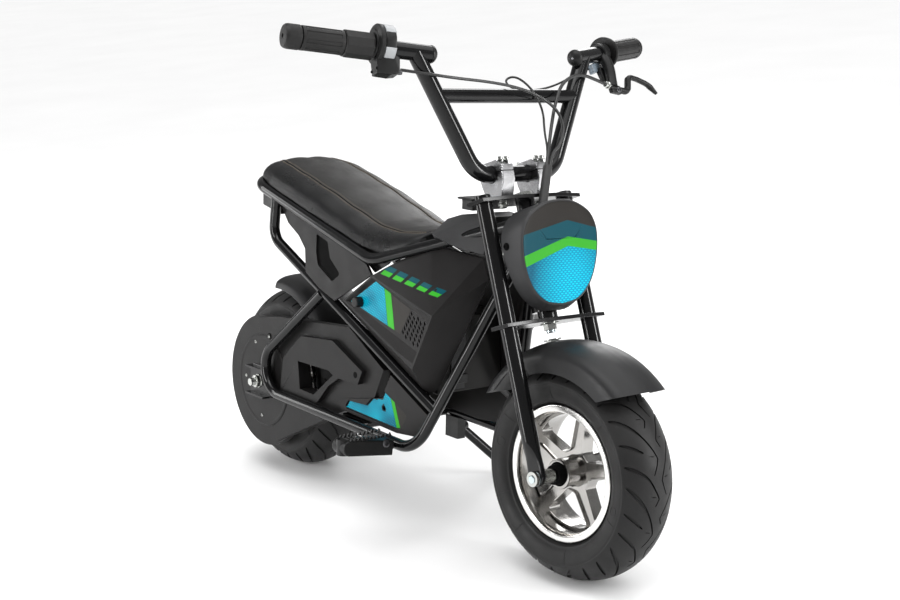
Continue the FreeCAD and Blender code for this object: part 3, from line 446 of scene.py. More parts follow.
def inset(loop, d):
    """Moves a closed 2-D loop inward by d (outward if negative)."""
    pts = [Vector(p) for p in loop]
    sign = 1 if area2(pts) > 0 else -1
    out = []
    n = len(pts)
    for i in range(n):
        a, b = pts[i] - pts[i - 1], pts[(i + 1) % n] - pts[i]
        if a.length < 1e-9:
            a = b
        if b.length < 1e-9:
            b = a
        na, nb = Vector((-a.y, a.x)).normalized() * sign, Vector((-b.y, b.x)).normalized() * sign
        m = na + nb
        if m.length < 1e-6:
            m = na
        m.normalize()
        k = max(0.45, m.dot(na))
        out.append(pts[i] + m * (d / k))
    return out


def inside(p, loop):
    x, y = p[0], p[1]
    c = False
    j = len(loop) - 1
    for i in range(len(loop)):
        a, b = loop[i], loop[j]
        if (a[1] > y) != (b[1] > y) and x < (b[0] - a[0]) * (y - a[1]) / (b[1] - a[1]) + a[0]:
            c = not c
        j = i
    return c


def terrain(outer, loops, holes, thick, wall=0.0):
    """Closed plate: outer edge and inner loops of (2-D loop, height) on top, holes right through,
    flat back at -thick. Holes are (loop, height). Returns verts (x, y, height) and faces."""
    all_loops = [outer] + list(loops) + list(holes)
    co, hgt, edges = [], [], []
    for lp, h in all_loops:
        base = len(co)
        n = len(lp)
        for i, p in enumerate(lp):
            co.append(Vector((p[0], p[1])))
            hgt.append(h[i] if isinstance(h, (list, tuple)) else h)
            edges.append((base + i, base + (i + 1) % n))
    vo, eo, fo, ov, _, _ = geometry.delaunay_2d_cdt(co, edges, [], 0, 1e-5)
    verts, keep = [], []
    for i, p in enumerate(vo):
        src = ov[i]
        verts.append((p.x, p.y, hgt[src[0]] if src else 0.0))
    o_loop = [tuple(p) for p in outer[0]]
    h_loops = [[tuple(p) for p in lp] for lp, _ in holes]
    faces = []
    for q in fo:
        cx = sum(vo[i].x for i in q) / len(q)
        cy = sum(vo[i].y for i in q) / len(q)
        if not inside((cx, cy), o_loop) or any(inside((cx, cy), hl) for hl in h_loops):
            continue
        faces.append(list(q))
    n0 = len(verts)
    ring_sets = [outer] + list(holes)
    bco, bedges, loops_idx = [], [], []
    for lp, h in ring_sets:
        base = len(bco)
        n = len(lp)
        bco += [Vector((p[0], p[1])) for p in lp]
        bedges += [(base + i, base + (i + 1) % n) for i in range(n)]
        loops_idx.append((base, n))
    vb, _, fb, ovb, _, _ = geometry.delaunay_2d_cdt(bco, bedges, [], 0, 1e-5)
    back = {}
    for i, p in enumerate(vb):
        verts.append((p.x, p.y, -thick))
        for s in ovb[i]:
            back[s] = n0 + i
    for q in fb:
        cx = sum(vb[i].x for i in q) / len(q)
        cy = sum(vb[i].y for i in q) / len(q)
        if not inside((cx, cy), o_loop) or any(inside((cx, cy), hl) for hl in h_loops):
            continue
        faces.append([n0 + i for i in reversed(q)])
    top = {}
    for i, src in enumerate(ov):
        for s in src:
            top[s] = i
    fbase = [0]
    for lp, _ in all_loops:
        fbase.append(fbase[-1] + len(lp))
    for k, (base, n) in enumerate(loops_idx):
        tb = fbase[0] if k == 0 else fbase[1 + len(loops) + (k - 1)]
        for i in range(n):
            j = (i + 1) % n
            a, b, c, d = top.get(tb + i), top.get(tb + j), back.get(base + j), back.get(base + i)
            if None in (a, b, c, d) or a == b or c == d:
                continue
            faces.append([a, b, c, d])
    return verts, faces


def soft_edge(loop, r, top=0.0, n=3, out=False):
    """Loops that round the edge of a plate: returns the outer loop with its height, and the inner ones."""
    rows = []
    for k in range(n + 1):
        a = math.pi / 2 * k / n
        rows.append((inset(loop, (-1 if out else 1) * r * (1 - math.cos(a))), top - r * (1 - math.sin(a))))
    return rows[0], rows[1:]


def copy_of(node, name, mats, angle=1.0, part=None):
    """A new mesh with the shape of a CAD node, its flat faces whole again."""
    bm = bmesh.new()
    bm.from_mesh(NODE[node].data)
    bmesh.ops.remove_doubles(bm, verts=bm.verts, dist=2e-5)
    bmesh.ops.dissolve_limit(bm, angle_limit=rad(angle), verts=bm.verts, edges=bm.edges)
    me = bpy.data.meshes.new(name)
    for f in bm.faces:
        f.smooth = True
    for e in bm.edges:
        e.smooth = len(e.link_faces) == 2 and e.calc_face_angle(9.0) < rad(35)
    bm.to_mesh(me)
    bm.free()
    me.materials.clear()
    for k in mats:
        me.materials.append(MATS[k])
    me.polygons.foreach_set("material_index", [0] * len(me.polygons))
    o = bpy.data.objects.new(name, me)
    scene.collection.objects.link(o)
    return o


def apply_all(o):
    dg = bpy.context.evaluated_depsgraph_get()
    me = bpy.data.meshes.new_from_object(o.evaluated_get(dg), preserve_all_data_layers=True, depsgraph=dg)
    o.modifiers.clear()
    o.data = me
    return o


def carve(o, cutter):
    """Takes the cutter's shape out of the piece."""
    b = o.modifiers.new("carve", "BOOLEAN")
    b.operation, b.object, b.solver = "DIFFERENCE", cutter, "EXACT"
    apply_all(o)
    bpy.data.objects.remove(cutter)
    return o


# ---------------------------------------------------------------- control cables
# the route points of the three cables, in the steering's own frame (mm)
TOP, END = Vector((30, 24, 394)), Vector((34, -7, 334))
run = (TOP - END).normalized()
side_way = Vector((0, run.z, -run.y)).normalized()
front_way = side_way.cross(run)
CABLES = [
    ("throttle_cable", 2.0, 2.9, 1.2, [(8, -176, 531), (22, -146, 522), (30, -105, 514), (33, -55, 509), (33, -12, 503), (33, 26, 493),
                                      (33, 61, 472), (32, 67, 445), (31, 52, 420)]),
    ("brake_cable", 2.3, -3.0, 0.8, [(20, 178, 511), (25, 150, 518), (27, 120, 524), (25, 88, 512), (24, 68, 483), (25, 51, 451)]),
    ("switch_wire", 1.5, 0.3, -3.4, [(-2, 188, 545), (-12, 152, 533), (-18, 110, 518), (-16, 64, 512), (-12, 30, 513),
                                    (-1, 6, 522), (15, 14, 524), (20, 36, 503), (17, 50, 474), (17, 44, 446)]),
]
for name, radius, a, b, route in CABLES:
    end = TOP + side_way * a + front_way * b
    points = [Vector(p) for p in route] + [end + run * 24, end]
    cu = bpy.data.curves.new(name, "CURVE")
    cu.dimensions = "3D"
    cu.bevel_depth, cu.bevel_resolution, cu.use_fill_caps = radius * MM, 5, True
    cu.resolution_u = 16
    sp = cu.splines.new("NURBS")
    sp.points.add(len(points) - 1)
    for q, p in zip(sp.points, points):
        q.co = (*(p * MM), 1.0)
    sp.order_u = 3
    sp.use_endpoint_u = True
    cu.materials.append(MATS["cable_black"])
    o = bpy.data.objects.new(name, cu)
    scene.collection.objects.link(o)
    o.matrix_world = STEER
    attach(o, "steering")
    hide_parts("control_cables")

# ---------------------------------------------------------------- floor and light
floor_mat, nt, bsdf = nodes_of("floor_paint")
finish_mat(nt, bsdf, mixed(nt, ranged(nt, noise(nt, 2.0, 3.0), 0, 1, 0.3, 0.7), (0.90, 0.90, 0.90), (0.93, 0.93, 0.93)),
           ranged(nt, noise(nt, 5.0, 3.0), 0.75, 0.85, 0.3, 0.7))
me = bpy.data.meshes.new("floor")
me.from_pydata([(-60, -60, 0), (60, -60, 0), (60, 60, 0), (-60, 60, 0)], [], [(0, 1, 2, 3)])
me.materials.append(floor_mat)
floor = bpy.data.objects.new("floor", me)
scene.collection.objects.link(floor)

world = bpy.data.worlds.new("studio")
scene.world = world
world.use_nodes = True
world.node_tree.nodes["Background"].inputs["Color"].default_value = (1.0, 1.0, 1.0, 1.0)
wt = world.node_tree
wt.nodes["Background"].inputs["Strength"].default_value = 0.30
scene.view_settings.view_transform = "Standard"


def area(name, at, target, w, h, power, color=(1, 1, 1)):
    d = bpy.data.lights.new(name, "AREA")
    d.shape, d.size, d.size_y, d.energy, d.color = "RECTANGLE", w, h, power, color
    o = bpy.data.objects.new(name, d)
    scene.collection.objects.link(o)
    o.location = at
    way = Vector(target) - Vector(at)
    o.rotation_euler = way.to_track_quat("-Z", "Y").to_euler()
    return o


sun = bpy.data.lights.new("soft_sun", "SUN")
sun.energy, sun.angle = 2.5, rad(80)
so = bpy.data.objects.new("soft_sun", sun)
scene.collection.objects.link(so)
so.rotation_euler = (rad(-8), rad(10), 0)
area("key", (0.3, -0.6, 2.9), (0, 0, 0.3), 1.6, 1.0, 16)
area("strip_left", (-0.45, -2.5, 1.0), (0, 0, 0.4), 0.34, 1.8, 36)
area("strip_rear", (-2.3, -1.4, 1.1), (0, 0, 0.4), 0.4, 2.0, 18)
area("strip_right", (2.5, 1.3, 0.9), (0.2, 0, 0.4), 0.36, 1.7, 56)
area("strip_back", (-1.5, 2.2, 1.6), (0, 0, 0.4), 0.8, 2.2, 26)

# ---------------------------------------------------------------- finish of the CAD nodes
FINISH = {
    "frame_rails": "tube_black", "frame_loops": "tube_black", "seat_rails": "tube_black", "head_tube": "tube_black",
    "frame_cross_tubes": "frame_black", "dropouts": "frame_black", "rear_axle": "zinc", "battery_box": "battery_case",
    "motor": "steel_dark", "battery_tray": "matt_black", "drive_chain": "chain_steel", "motor_sprocket": "chain_steel",
    "rear_sprocket": "steel_dark", "chain_cover": "cover_dark", "rear_brake": "steel_dark", "side_fairings": "cover_soft",
    "lower_panels": "cover_soft", "wing_panels": "cover_dark", "tank_cover": "cover_grey", "rear_fender": "fender_grey",
    "tail_piece": "black_plastic", "seat_pad": "seat_vinyl", "seat_base": "black_plastic", "foot_pegs": "black_plastic",
    "stand_bracket": "frame_black", "side_stand": "frame_black", "control_box": "black_plastic", "steerer": "zinc",
    "fork_clamps": "frame_black", "fork_legs": "tube_black", "front_axle": "zinc", "front_fender": "fender_grey",
    "number_board": "cover_grey", "handlebar": "tube_black", "throttle_grip": "grip_rubber", "grip_left": "grip_rubber",
    "throttle_housing": "black_plastic", "brake_lever": "black_plastic", "bar_clamps": "clamp_alu", "cable_sleeve": "sleeve_black",
    "rear_tyre": "tyre_rubber", "front_tyre": "tyre_rubber", "rear_rim": "polished", "front_rim": "polished",
}
for n, m in FINISH.items():
    o = NODE[n]
    if not o.material_slots:
        o.data.materials.append(MATS[m])
    for s in o.material_slots:
        s.link = "OBJECT"
        s.material = MATS[m]

# ---------------------------------------------------------------- wheels
def circle3(a, b, c):
    ax, ay, bx, by, cx, cy = *a, *b, *c
    d = 2 * (ax * (by - cy) + bx * (cy - ay) + cx * (ay - by))
    ux = ((ax * ax + ay * ay) * (by - cy) + (bx * bx + by * by) * (cy - ay) + (cx * cx + cy * cy) * (ay - by)) / d
    uy = ((ax * ax + ay * ay) * (cx - bx) + (bx * bx + by * by) * (ax - cx) + (cx * cx + cy * cy) * (bx - ax)) / d
    return (ux, uy), math.hypot(ax - ux, ay - uy)


def arc3(a, b, c, n):
    (ux, uy), r = circle3(a, b, c)
    t0, t1, t2 = (math.atan2(p[1] - uy, p[0] - ux) for p in (a, b, c))
    while t1 - t0 > math.pi: t1 -= 2 * math.pi
    while t0 - t1 > math.pi: t1 += 2 * math.pi
    while t2 - t1 > math.pi: t2 -= 2 * math.pi
    while t1 - t2 > math.pi: t2 += 2 * math.pi
    return [(ux + r * math.cos(t0 + (t2 - t0) * k / n), uy + r * math.sin(t0 + (t2 - t0) * k / n)) for k in range(n + 1)]


PITCH = 40.0
KX, KY = 132 * math.pi / 180, 51.45
# one pitch of the tread on one half: angle round the wheel, place from the middle (0) to the shoulder (1), width in mm
CUTS = [
    (0.0, [(0, .93, 1.2), (0.7, .87, 3.4), (1.8, .78, 4.4), (3.6, .64, 4.4), (5.6, .51, 3.4), (6.8, .43, 2.2), (7.3, .40, 1.2)]),
    (12.8, [(0, .93, 1.2), (0.5, .87, 3.8), (1.4, .79, 4.8), (3.2, .64, 5.0), (5.6, .48, 4.0), (8.2, .35, 2.5), (12.6, .22, 2.2), (17.9, .075, 2.0), (19.4, .085, 2.0), (22.3, .16, 1.4)]),
    (24.5, [(0, .93, 1.2), (1.0, .87, 3.8), (2.8, .78, 5.0), (6.4, .62, 5.2), (10.2, .47, 3.8), (13.8, .35, 2.4), (20, .18, 2.2), (26.0, .045, 2.0), (27.6, .05, 2.0), (31, .11, 1.8), (34.6, .2, 1.3)]),
    (12.8, [(16.9, .29, .7), (17.1, .25, 1.1), (17.3, .20, 1.1), (17.4, .16, .7)]),
    (24.5, [(24.9, .27, .7), (25.1, .22, 1.1), (25.3, .17, 1.1), (25.4, .13, .7)]),
]
EDGE_NEAR = [(1.0, 33.0), (.9, 33.4), (.7, 36.2), (.55, 39.6), (.42, 43.6), (.30, 53.5), (.2, 62.5), (.12, 65.2), (.07, 66.5)]
FAR_STEP = 10.8


def band(line, cut=0.0):
    """Outline of a groove from its middle line; cut takes that much off each side."""
    pts = [Vector((t * KX, v * KY)) for t, v, _ in line]
    wid = [max(0.12, w / 2 - cut) for _, _, w in line]
    fine, fw = [], []
    for i in range(len(pts) - 1):
        p0, p1, p2, p3 = pts[max(0, i - 1)], pts[i], pts[i + 1], pts[min(len(pts) - 1, i + 2)]
        for k in range(2):
            u = k / 2
            fine.append(0.5 * ((2 * p1) + (p2 - p0) * u + (2 * p0 - 5 * p1 + 4 * p2 - p3) * u * u + (3 * p1 - p0 - 3 * p2 + p3) * u ** 3))
            fw.append(wid[i] * (1 - u) + wid[i + 1] * u)
    fine.append(pts[-1])
    fw.append(wid[-1])
    if cut:
        fine[0] = fine[0] + (fine[1] - fine[0]).normalized() * cut
        fine[-1] = fine[-1] + (fine[-2] - fine[-1]).normalized() * cut
    left, rite = [], []
    for i, p in enumerate(fine):
        d = (fine[min(i + 1, len(fine) - 1)] - fine[max(0, i - 1)]).normalized()
        nn = Vector((-d.y, d.x))
        left.append(p + nn * fw[i])
        rite.append(p - nn * fw[i])
    return left + rite[::-1]


def tread_tile():
    edge = [(-v, t) for v, t in EDGE_NEAR] + [(0.0, 68.6)] + [(v, t + (FAR_STEP if v > 0.25 else (10.6 if v > 0.15 else 4.6))) for v, t in reversed(EDGE_NEAR)]
    line = []
    for i in range(len(edge) - 1):
        (v0, t0), (v1, t1) = edge[i], edge[i + 1]
        k = max(1, int(math.hypot((v1 - v0) * KY, (t1 - t0) * KX) / 5))
        line += [(v0 + (v1 - v0) * j / k, t0 + (t1 - t0) * j / k) for j in range(k)]
    line.append(edge[-1])
    co, depth, edges = [], [], []

    def closed(pts, d):
        base = len(co)
        for i, p in enumerate(pts):
            co.append(Vector(p))
            depth.append(d)
            edges.append((base + i, base + (i + 1) % len(pts)))

    top = [((line[-1][1] + PITCH * k / 12) * KX, KY) for k in range(1, 12)]
    low = [((line[0][1] + PITCH * k / 12) * KX, -KY) for k in range(1, 12)]
    a = [(t * KX, v * KY) for v, t in line]
    b = [((t + PITCH) * KX, v * KY) for v, t in line]
    tile = a + top + b[::-1] + low[::-1]
    closed(tile, 0.0)
    outs = []
    for side in (-1, 1):
        for off, cut in CUTS:
            for hop in (0.0, PITCH):
                start = off + hop + (FAR_STEP if side > 0 else 0.0)
                moved = [(t + start, v * side, w) for t, v, w in cut]
                mid = moved[len(moved) // 2]
                if not inside((mid[0] * KX, mid[1] * KY), tile):
                    continue
                o = band(moved)
                outs.append(o)
                closed(o, 0.0)
                closed(band(moved, 0.42), 2.6 if len(cut) > 4 else 1.2)
    xs = [p[0] for p in tile]
    lo, hi = min(xs), max(xs)
    nx, ny = int((hi - lo) / 4.2), 25
    for j in range(1, ny):
        y = -KY + 2 * KY * j / ny
        for i in range(nx + 1):
            x = lo + (hi - lo) * (i + 0.5 * (j % 2)) / nx
            if not inside((x, y), tile) or any(inside((x, y), o) for o in outs):
                continue
            if min((x - p[0]) ** 2 + (y - p[1]) ** 2 for p in tile) < 3.0 or min((x - p[0]) ** 2 + (y - p[1]) ** 2 for o in outs for p in o) < 1.6:
                continue
            co.append(Vector((x, y)))
            depth.append(0.0)
    vo, _, fo, ov, _, _ = geometry.delaunay_2d_cdt(co, edges, [], 0, 1e-4)
    pts = [(p.x / KX, p.y / KY, max([depth[s] for s in ov[i]] or [0.0])) for i, p in enumerate(vo)]
    tl = [tuple(p) for p in tile]
    faces = [list(q) for q in fo if inside((sum(vo[i].x for i in q) / 3, sum(vo[i].y for i in q) / 3), tl)]
    return pts, faces, line


TILE = tread_tile()
CROWN, CENTRE, PHI = 53.2, 87.8, 55.4


def tyre(name, world, body, node):
    pts, faces, line = TILE
    verts, out = [], []
    for k in range(9):
        base = len(verts)
        for t, v, d in pts:
            ph = rad(PHI * v)
            r, y = CENTRE + (CROWN - d) * math.cos(ph), (CROWN - d) * math.sin(ph)
            a = rad(t + PITCH * k)
            verts.append((r * math.sin(a) * MM, y * MM, r * math.cos(a) * MM))
        out += [[i + base for i in q] for q in faces]
    side = [(118, 43.8), (117.3, 44.12), (116.4, 44.15), (115.6, 43.75), (114.9, 43.7)]
    side += [p for p in arc3((118, 43.8), (104, 43), (89, 31.5), 22) if 94.5 < p[0] < 113.5]
    side += [(93.4, 37.4), (92.6, 37.2), (91.8, 36.0), (90.8, 33.6), (89.6, 31.9), (88.6, 31.2), (84, 31.0), (83, 29), (83, 10)]
    for sgn, t0 in ((-1, line[0][1]), (1, line[-1][1])):
        base = len(verts)
        for r, y in side:
            for k in range(108):
                a = rad(t0 + PITCH * k / 12)
                if r == 118:
                    ph = rad(PHI)
                    rr, yy = CENTRE + CROWN * math.cos(ph), CROWN * math.sin(ph)
                else:
                    rr, yy = r, y
                verts.append((rr * math.sin(a) * MM, sgn * yy * MM, rr * math.cos(a) * MM))
        for i in range(len(side) - 1):
            for k in range(108):
                q = [base + i * 108 + k, base + i * 108 + (k + 1) % 108, base + (i + 1) * 108 + (k + 1) % 108, base + (i + 1) * 108 + k]
                out.append(q)
        # raised parting lines and a small ring on the side wall
        flat = [p for p in side if 95 < p[0] < 114]
        for ang in (-96, -38, 12, 64, 131, 187, 236):
            rows = []
            for r, y in flat:
                for da, lift in ((-0.35, -0.3), (-0.2, 0.35), (0.2, 0.35), (0.35, -0.3)):
                    a = rad(ang) + da / r
                    rows.append((r * math.sin(a) * MM, sgn * (y + lift) * MM, r * math.cos(a) * MM))
            base = len(verts)
            verts += rows
            for i in range(len(flat) - 1):
                for k in range(3):
                    out.append([base + i * 4 + k, base + i * 4 + k + 1, base + (i + 1) * 4 + k + 1, base + (i + 1) * 4 + k])
        yc = [p[1] for p in flat if p[0] < 106][0]
        for ang in (-58, 122):
            c = Vector((104.5 * math.sin(rad(ang)), 0, 104.5 * math.cos(rad(ang))))
            base = len(verts)
            for k in range(28):
                th = 2 * math.pi * k / 28
                for rr, lift in ((6.2, -0.4), (5.9, 0.35), (5.5, 0.35), (5.2, -0.4)):
                    x, z = c.x + rr * math.cos(th), c.z + rr * math.sin(th)
                    r = math.hypot(x, z)
                    y = np.interp(r, [p[0] for p in flat[::-1]], [p[1] for p in flat[::-1]])
                    verts.append((x * MM, sgn * (y + lift) * MM, z * MM))
            for k in range(28):
                for j in range(3):
                    a0, b0 = base + k * 4 + j, base + ((k + 1) % 28) * 4 + j
                    out.append([a0, a0 + 1, b0 + 1, b0])
    o = obj_from(name, verts, out, world, ("tyre_rubber",), smooth=38, merge=2e-6)
    return done(o, body, (node,))


def about_y(shape):
    """Turns a shape made about Z so that its axis is Y."""
    v, f = shape
    return [(x, z, -y) for x, y, z in v], f


HALF = [(77.0, 0), (77.0, 24), (77.3, 29), (78.2, 32.6), (79.4, 34.7), (80.6, 35.35), (82.0, 35.4), (85.8, 35.4), (87.0, 35.1), (87.8, 34.3), (88, 33.0), (87.6, 31.9), (83.4, 31.2), (82.5, 29), (82.5, 0)]


def rim(name, world, body, node, sprocket_side=0):
    b = Batch(name, ["polished", "lip_bright", "matt_black", "steel_dark", "zinc"], world)
    for sgn in (-1, 1):
        rows = [(r, h * sgn) for r, h in HALF]
        b.put(about_y(lathe(rows[:5], 144)), "polished")
        b.put(about_y(lathe(rows[4:10], 144)), "lip_bright")
        # the flange's outer curl beside the tyre, with the bead seat, is matt black: painted shade of the gap between
        # rim and tyre
        b.put(about_y(lathe(rows[9:], 96)), "matt_black")
    # five channelled arms: a plate with five openings, raised at their edges
    def opening(k, grow=0.0):
        h0, h1 = 11.0, 8.2
        c36, s36 = math.cos(rad(36)), math.sin(rad(36))
        x0 = 28.0
        s0 = (x0 - h0 * s36) / c36
        y0 = s0 * s36 - h0 * c36
        s1 = 73.0
        x1, y1 = s1 * c36 + h1 * s36, s1 * s36 - h1 * c36
        a1 = math.atan2(y1, x1)
        r1 = 73.6
        outline = [(x0, -y0), (r1 * math.cos(a1), -r1 * math.sin(a1))]
        outline += [(r1 * math.cos(a), r1 * math.sin(a)) for a in (-a1 * 0.6, -a1 * 0.2, a1 * 0.2, a1 * 0.6)]
        outline += [(r1 * math.cos(a1), r1 * math.sin(a1)), (x0, y0)]
        rnd = round2(outline, [6.5, 7, 40, 40, 40, 40, 7, 6.5], 10)
        th = rad(26.5 + 36 + 72 * k)
        # plate plane: first coordinate along +x, second along +z of the wheel
        res = []
        for p in inset(rnd, -grow) if grow else rnd:
            ang = math.atan2(p[1], p[0]) + th
            r = math.hypot(p[0], p[1])
            res.append((r * math.sin(ang), r * math.cos(ang)))
        return res
    ring = [(77.25 * math.sin(2 * math.pi * k / 96), 77.25 * math.cos(2 * math.pi * k / 96)) for k in range(96)]
    for sgn in (-1, 1):
        loops = []
        for k in range(5):
            loops += [(opening(k, 0.45), 0.0), (opening(k, 1.5), 0.0), (opening(k, 2.3), -3.6)]
        hub = [(20.5 * math.sin(2 * math.pi * k / 48), 20.5 * math.cos(2 * math.pi * k / 48)) for k in range(48)]
        v, f = terrain((ring, -3.6), loops + [(hub, -3.6)], [(opening(k), -0.45) for k in range(5)], 9.6)
        b.put(([(x, sgn * (9.6 + h), z) for x, z, h in v], f), "polished")
    for sgn in (-1, 1):
        rows = [(21.0, 0), (21.0, 6), (20.2, 9), (19.6, 14), (19.4, 30), (19.6, 35.2), (19.2, 36.6), (18.2, 37.2), (15.8, 37.2), (15.2, 36.4), (15.2, 33.5)]
        b.put(about_y(lathe([(r, sgn * h) for r, h in rows], 64)), "polished")
        b.put(about_y(lathe([(15.2, sgn * 33.5), (15.1, sgn * 35.6), (14.4, sgn * 36.0), (9.8, sgn * 36.0), (9.4, sgn * 35.4), (8.4, sgn * 35.4)], 48)), "matt_black")
        b.put(about_y(lathe([(13.2, sgn * 36.0), (13.2, sgn * 40), (12.6, sgn * 46.2), (12.0, sgn * 46.8), (8.3, sgn * 46.8)], 48)), "matt_black")
    b.put(about_y(lathe([(21, -6), (21, 6)], 64)), "polished")
    # bent valve stem on the well of the rim
    a = rad(64)
    def vp(r, y):
        return Vector((r * math.sin(a), y, r * math.cos(a)))
    path = rounded_path([vp(77, -3), vp(59, -3), vp(56, 14)], 5, 12)
    b.put(sweep(path, 3.0, 16), "zinc")
    w = (vp(56, 14) - vp(59, -3)).normalized()
    b.put(lathe([(0, 0), (4.0, 0), (4.2, 0.6), (4.2, 9.2), (3.4, 10.4), (0, 10.4)], 20), "matt_black", aim(vp(56, 13) , w))
    b.put(lathe([(5.2, -1.0), (5.2, 2.0), (4.2, 3.2), (3.0, 3.6)], 6), "zinc", aim(vp(77, -3), vp(59, -3) - vp(77, -3)))
    return b.make(body, (node,), smooth=32)


tyre("front_tyre_tread", STEER, "front_wheel", "front_tyre")
tyre("rear_tyre_tread", REAR, "rear_wheel", "rear_tyre")
rim("front_rim_cast", STEER, "front_wheel", "front_rim")
rim("rear_rim_cast", REAR, "rear_wheel", "rear_rim")

# ---------------------------------------------------------------- fork
def hexhead(r, h, washer=0.0):
    rows = [(0, h), (r * 0.80, h), (r, h - 0.5), (r, 0)]
    return lathe(rows, 6)


def bolt(b, at, way, r=5.0, h=4.0, washer=0.0, wh=1.4, mat="zinc", cap=False, spin=0.0):
    """Hex head, or a round cap with a socket, on a washer or flange."""
    m = aim(at, way, spin)
    z0 = 0.0
    if washer:
        b.put(lathe([(0, 0), (washer, 0), (washer, wh * 0.6), (washer - 0.6, wh), (0, wh)], 28), mat, m)
        z0 = wh * 0.8
    up_ = Matrix.Translation((0, 0, z0))
    if cap:
        b.put(lathe([(r, 0), (r, h - 0.7), (r - 0.7, h), (r * 0.58, h), (r * 0.5, h - 0.4)], 28), mat, m @ up_)
        b.put(lathe([(r * 0.5, h - 0.4), (r * 0.48, h * 0.35), (0, h * 0.3)], 6), mat, m @ up_)
    else:
        b.put(lathe([(r, 0), (r, h - 0.6), (r * 0.86, h - 0.05)], 6), mat, m @ up_)
        b.put(lathe([(r * 0.86, h - 0.05), (r * 0.80, h), (0, h)], 6), mat, m @ up_)


def fork_leg(side):
    y = 72.9 * side
    rings = []
    n = 40
    def ring(s, a, bb, p):
        out = []
        for k in range(n):
            t = 2 * math.pi * k / n
            c, d = math.cos(t), math.sin(t)
            out.append(Vector((a * math.copysign(abs(c) ** p, c), y + bb * math.copysign(abs(d) ** p, d), s)))
        return out
    rings.append(ring(366, 9.6, 9.6, 1.0))
    rings.append(ring(365, 10.8, 10.8, 1.0))
    rings.append(ring(363.6, 11, 11, 1.0))
    for s in (300, 200, 120, 60):
        rings.append(ring(s, 11, 11, 1.0))
    for s, a, bb, p in ((47, 11.0, 11.0, 1.0), (41, 11.2, 10.2, 0.97), (35, 11.6, 8.4, 0.9), (29, 12.1, 6.2, 0.78), (24, 12.6, 4.7, 0.62), (20, 12.9, 4.1, 0.5), (15, 13.0, 4.0, 0.4)):
        rings.append(ring(s, a, bb, p))
    for k in range(0, 9):
        a = 90.0 * k / 9
        w = 13.0 * math.cos(rad(a))
        rings.append(ring(3 - 16.0 * math.sin(rad(a)) * 13 / 16, max(1.2, w), 4.0 if k < 8 else 3.6, 0.4))
    return loop_rings(rings)


fb = Batch("fork_tubes", ["tube_black"], STEER)
for s_ in (-1, 1):
    fb.put(fork_leg(s_), "tube_black")
fb.make("steering", ("fork_legs",), smooth=40)

hb = Batch("fork_bolts", ["zinc", "zinc_blue", "tube_black"], STEER)
for s_ in (-1, 1):
    bolt(hb, (0, 77.0 * s_, 0), (0, s_, 0), 5.6, 6.2, 9.6, 2.0, "zinc_blue", spin=12)
    bolt(hb, (0, 72.9 * s_, 360.2), (0, 0, 1), 5.2, 3.6, 8.4, 1.2, "tube_black")
    for z_, sg in ((192, 1), (355, 1)):
        pass
hb.put(lathe([(0, 164.0), (9.5, 164.0), (9.5, 165.2), (0, 165.2)], 32), "zinc")
bolt(hb, (0, 0, 171), (0, 0, -1), 9.0, 7.5, 11.5, 1.6, "zinc")
bolt(hb, (0, 0, 360.3), (0, 0, 1), 13.5, 6.0, 16.5, 1.6, "zinc")
hb.make("steering")

# ---------------------------------------------------------------- fenders
def spline2(points, k=5):
    pts = [Vector(p) for p in points]
    out = []
    for i in range(len(pts) - 1):
        p0, p1, p2, p3 = pts[max(0, i - 1)], pts[i], pts[i + 1], pts[min(len(pts) - 1, i + 2)]
        for j in range(k):
            u = j / k
            out.append(0.5 * ((2 * p1) + (p2 - p0) * u + (2 * p0 - 5 * p1 + 4 * p2 - p3) * u * u + (3 * p1 - p0 - 3 * p2 + p3) * u ** 3))
    out.append(pts[-1])
    return out


def arch_mesh(rows, thick, a0, a1, step=2.0):
    half = spline2(rows, 4)
    outer = [Vector((r, -y)) for r, y in half] + [Vector((r, y)) for r, y in reversed(half[:-1])]
    inner = inset(outer + [Vector((60, outer[-1][1])), Vector((60, outer[0][1]))], thick)[:len(outer)]
    section = list(outer) + list(inner)[::-1]
    n = max(3, int((a1 - a0) / step))
    rings = []
    for i in range(n + 1):
        a = rad(a0 + (a1 - a0) * i / n)
        rings.append([(p[0] * math.sin(a), p[1], p[0] * math.cos(a)) for p in section])
    return loop_rings(rings)


def prism_cut(name, polys, world):
    """Cutter made of outlines in x, z drawn out across the wheel."""
    v, f = [], []
    for poly in polys:
        base = len(v)
        n = len(poly)
        v += [(x * MM, -0.09, z * MM) for x, z in poly] + [(x * MM, 0.09, z * MM) for x, z in poly]
        f += [[base + i for i in range(n)], [base + n + i for i in reversed(range(n))]]
        f += [[base + i, base + (i + 1) % n, base + n + (i + 1) % n, base + n + i] for i in range(n)]
    return obj_from(name, v, f, world, ("matt_black",), None, 0)


v, f = arch_mesh([(130, 50.5), (142, 49.6), (152, 46.6), (159.6, 38.8), (164, 28), (167, 15), (168, 0)], 2.6, -47, 65)
fender = obj_from("front_fender_shell", [Vector(p) * MM for p in v], f, STEER, ("fender_grey",), None, 50)
carve(fender, prism_cut("cut_a", [[(0, -222), (200, -222), (200, 78), (0, 78)]], STEER))
rear_cut = round2([(-4, 137), (-44, 141), (-77, 121), (-200, 121), (-200, -60), (-4, -60)], [6, 30, 10, 0, 0, 0], 10)
carve(fender, prism_cut("cut_b", [[tuple(p) for p in rear_cut]], STEER))
bevel(fender, 0.9 * MM, 2, 40)
weighted(fender)
done(fender, "steering", ("front_fender",))

v, f = arch_mesh([(144, 52), (151, 50.2), (156, 46), (160, 37), (162, 28), (163.3, 14), (163.5, 0)], 2.6, -3, 55)
fender = obj_from("rear_fender_shell", [Vector(p) * MM for p in v], f, REAR, ("fender_grey",), None, 50)
bevel(fender, 0.9 * MM, 2, 40)
weighted(fender)
done(fender, "frame", ("rear_fender",))


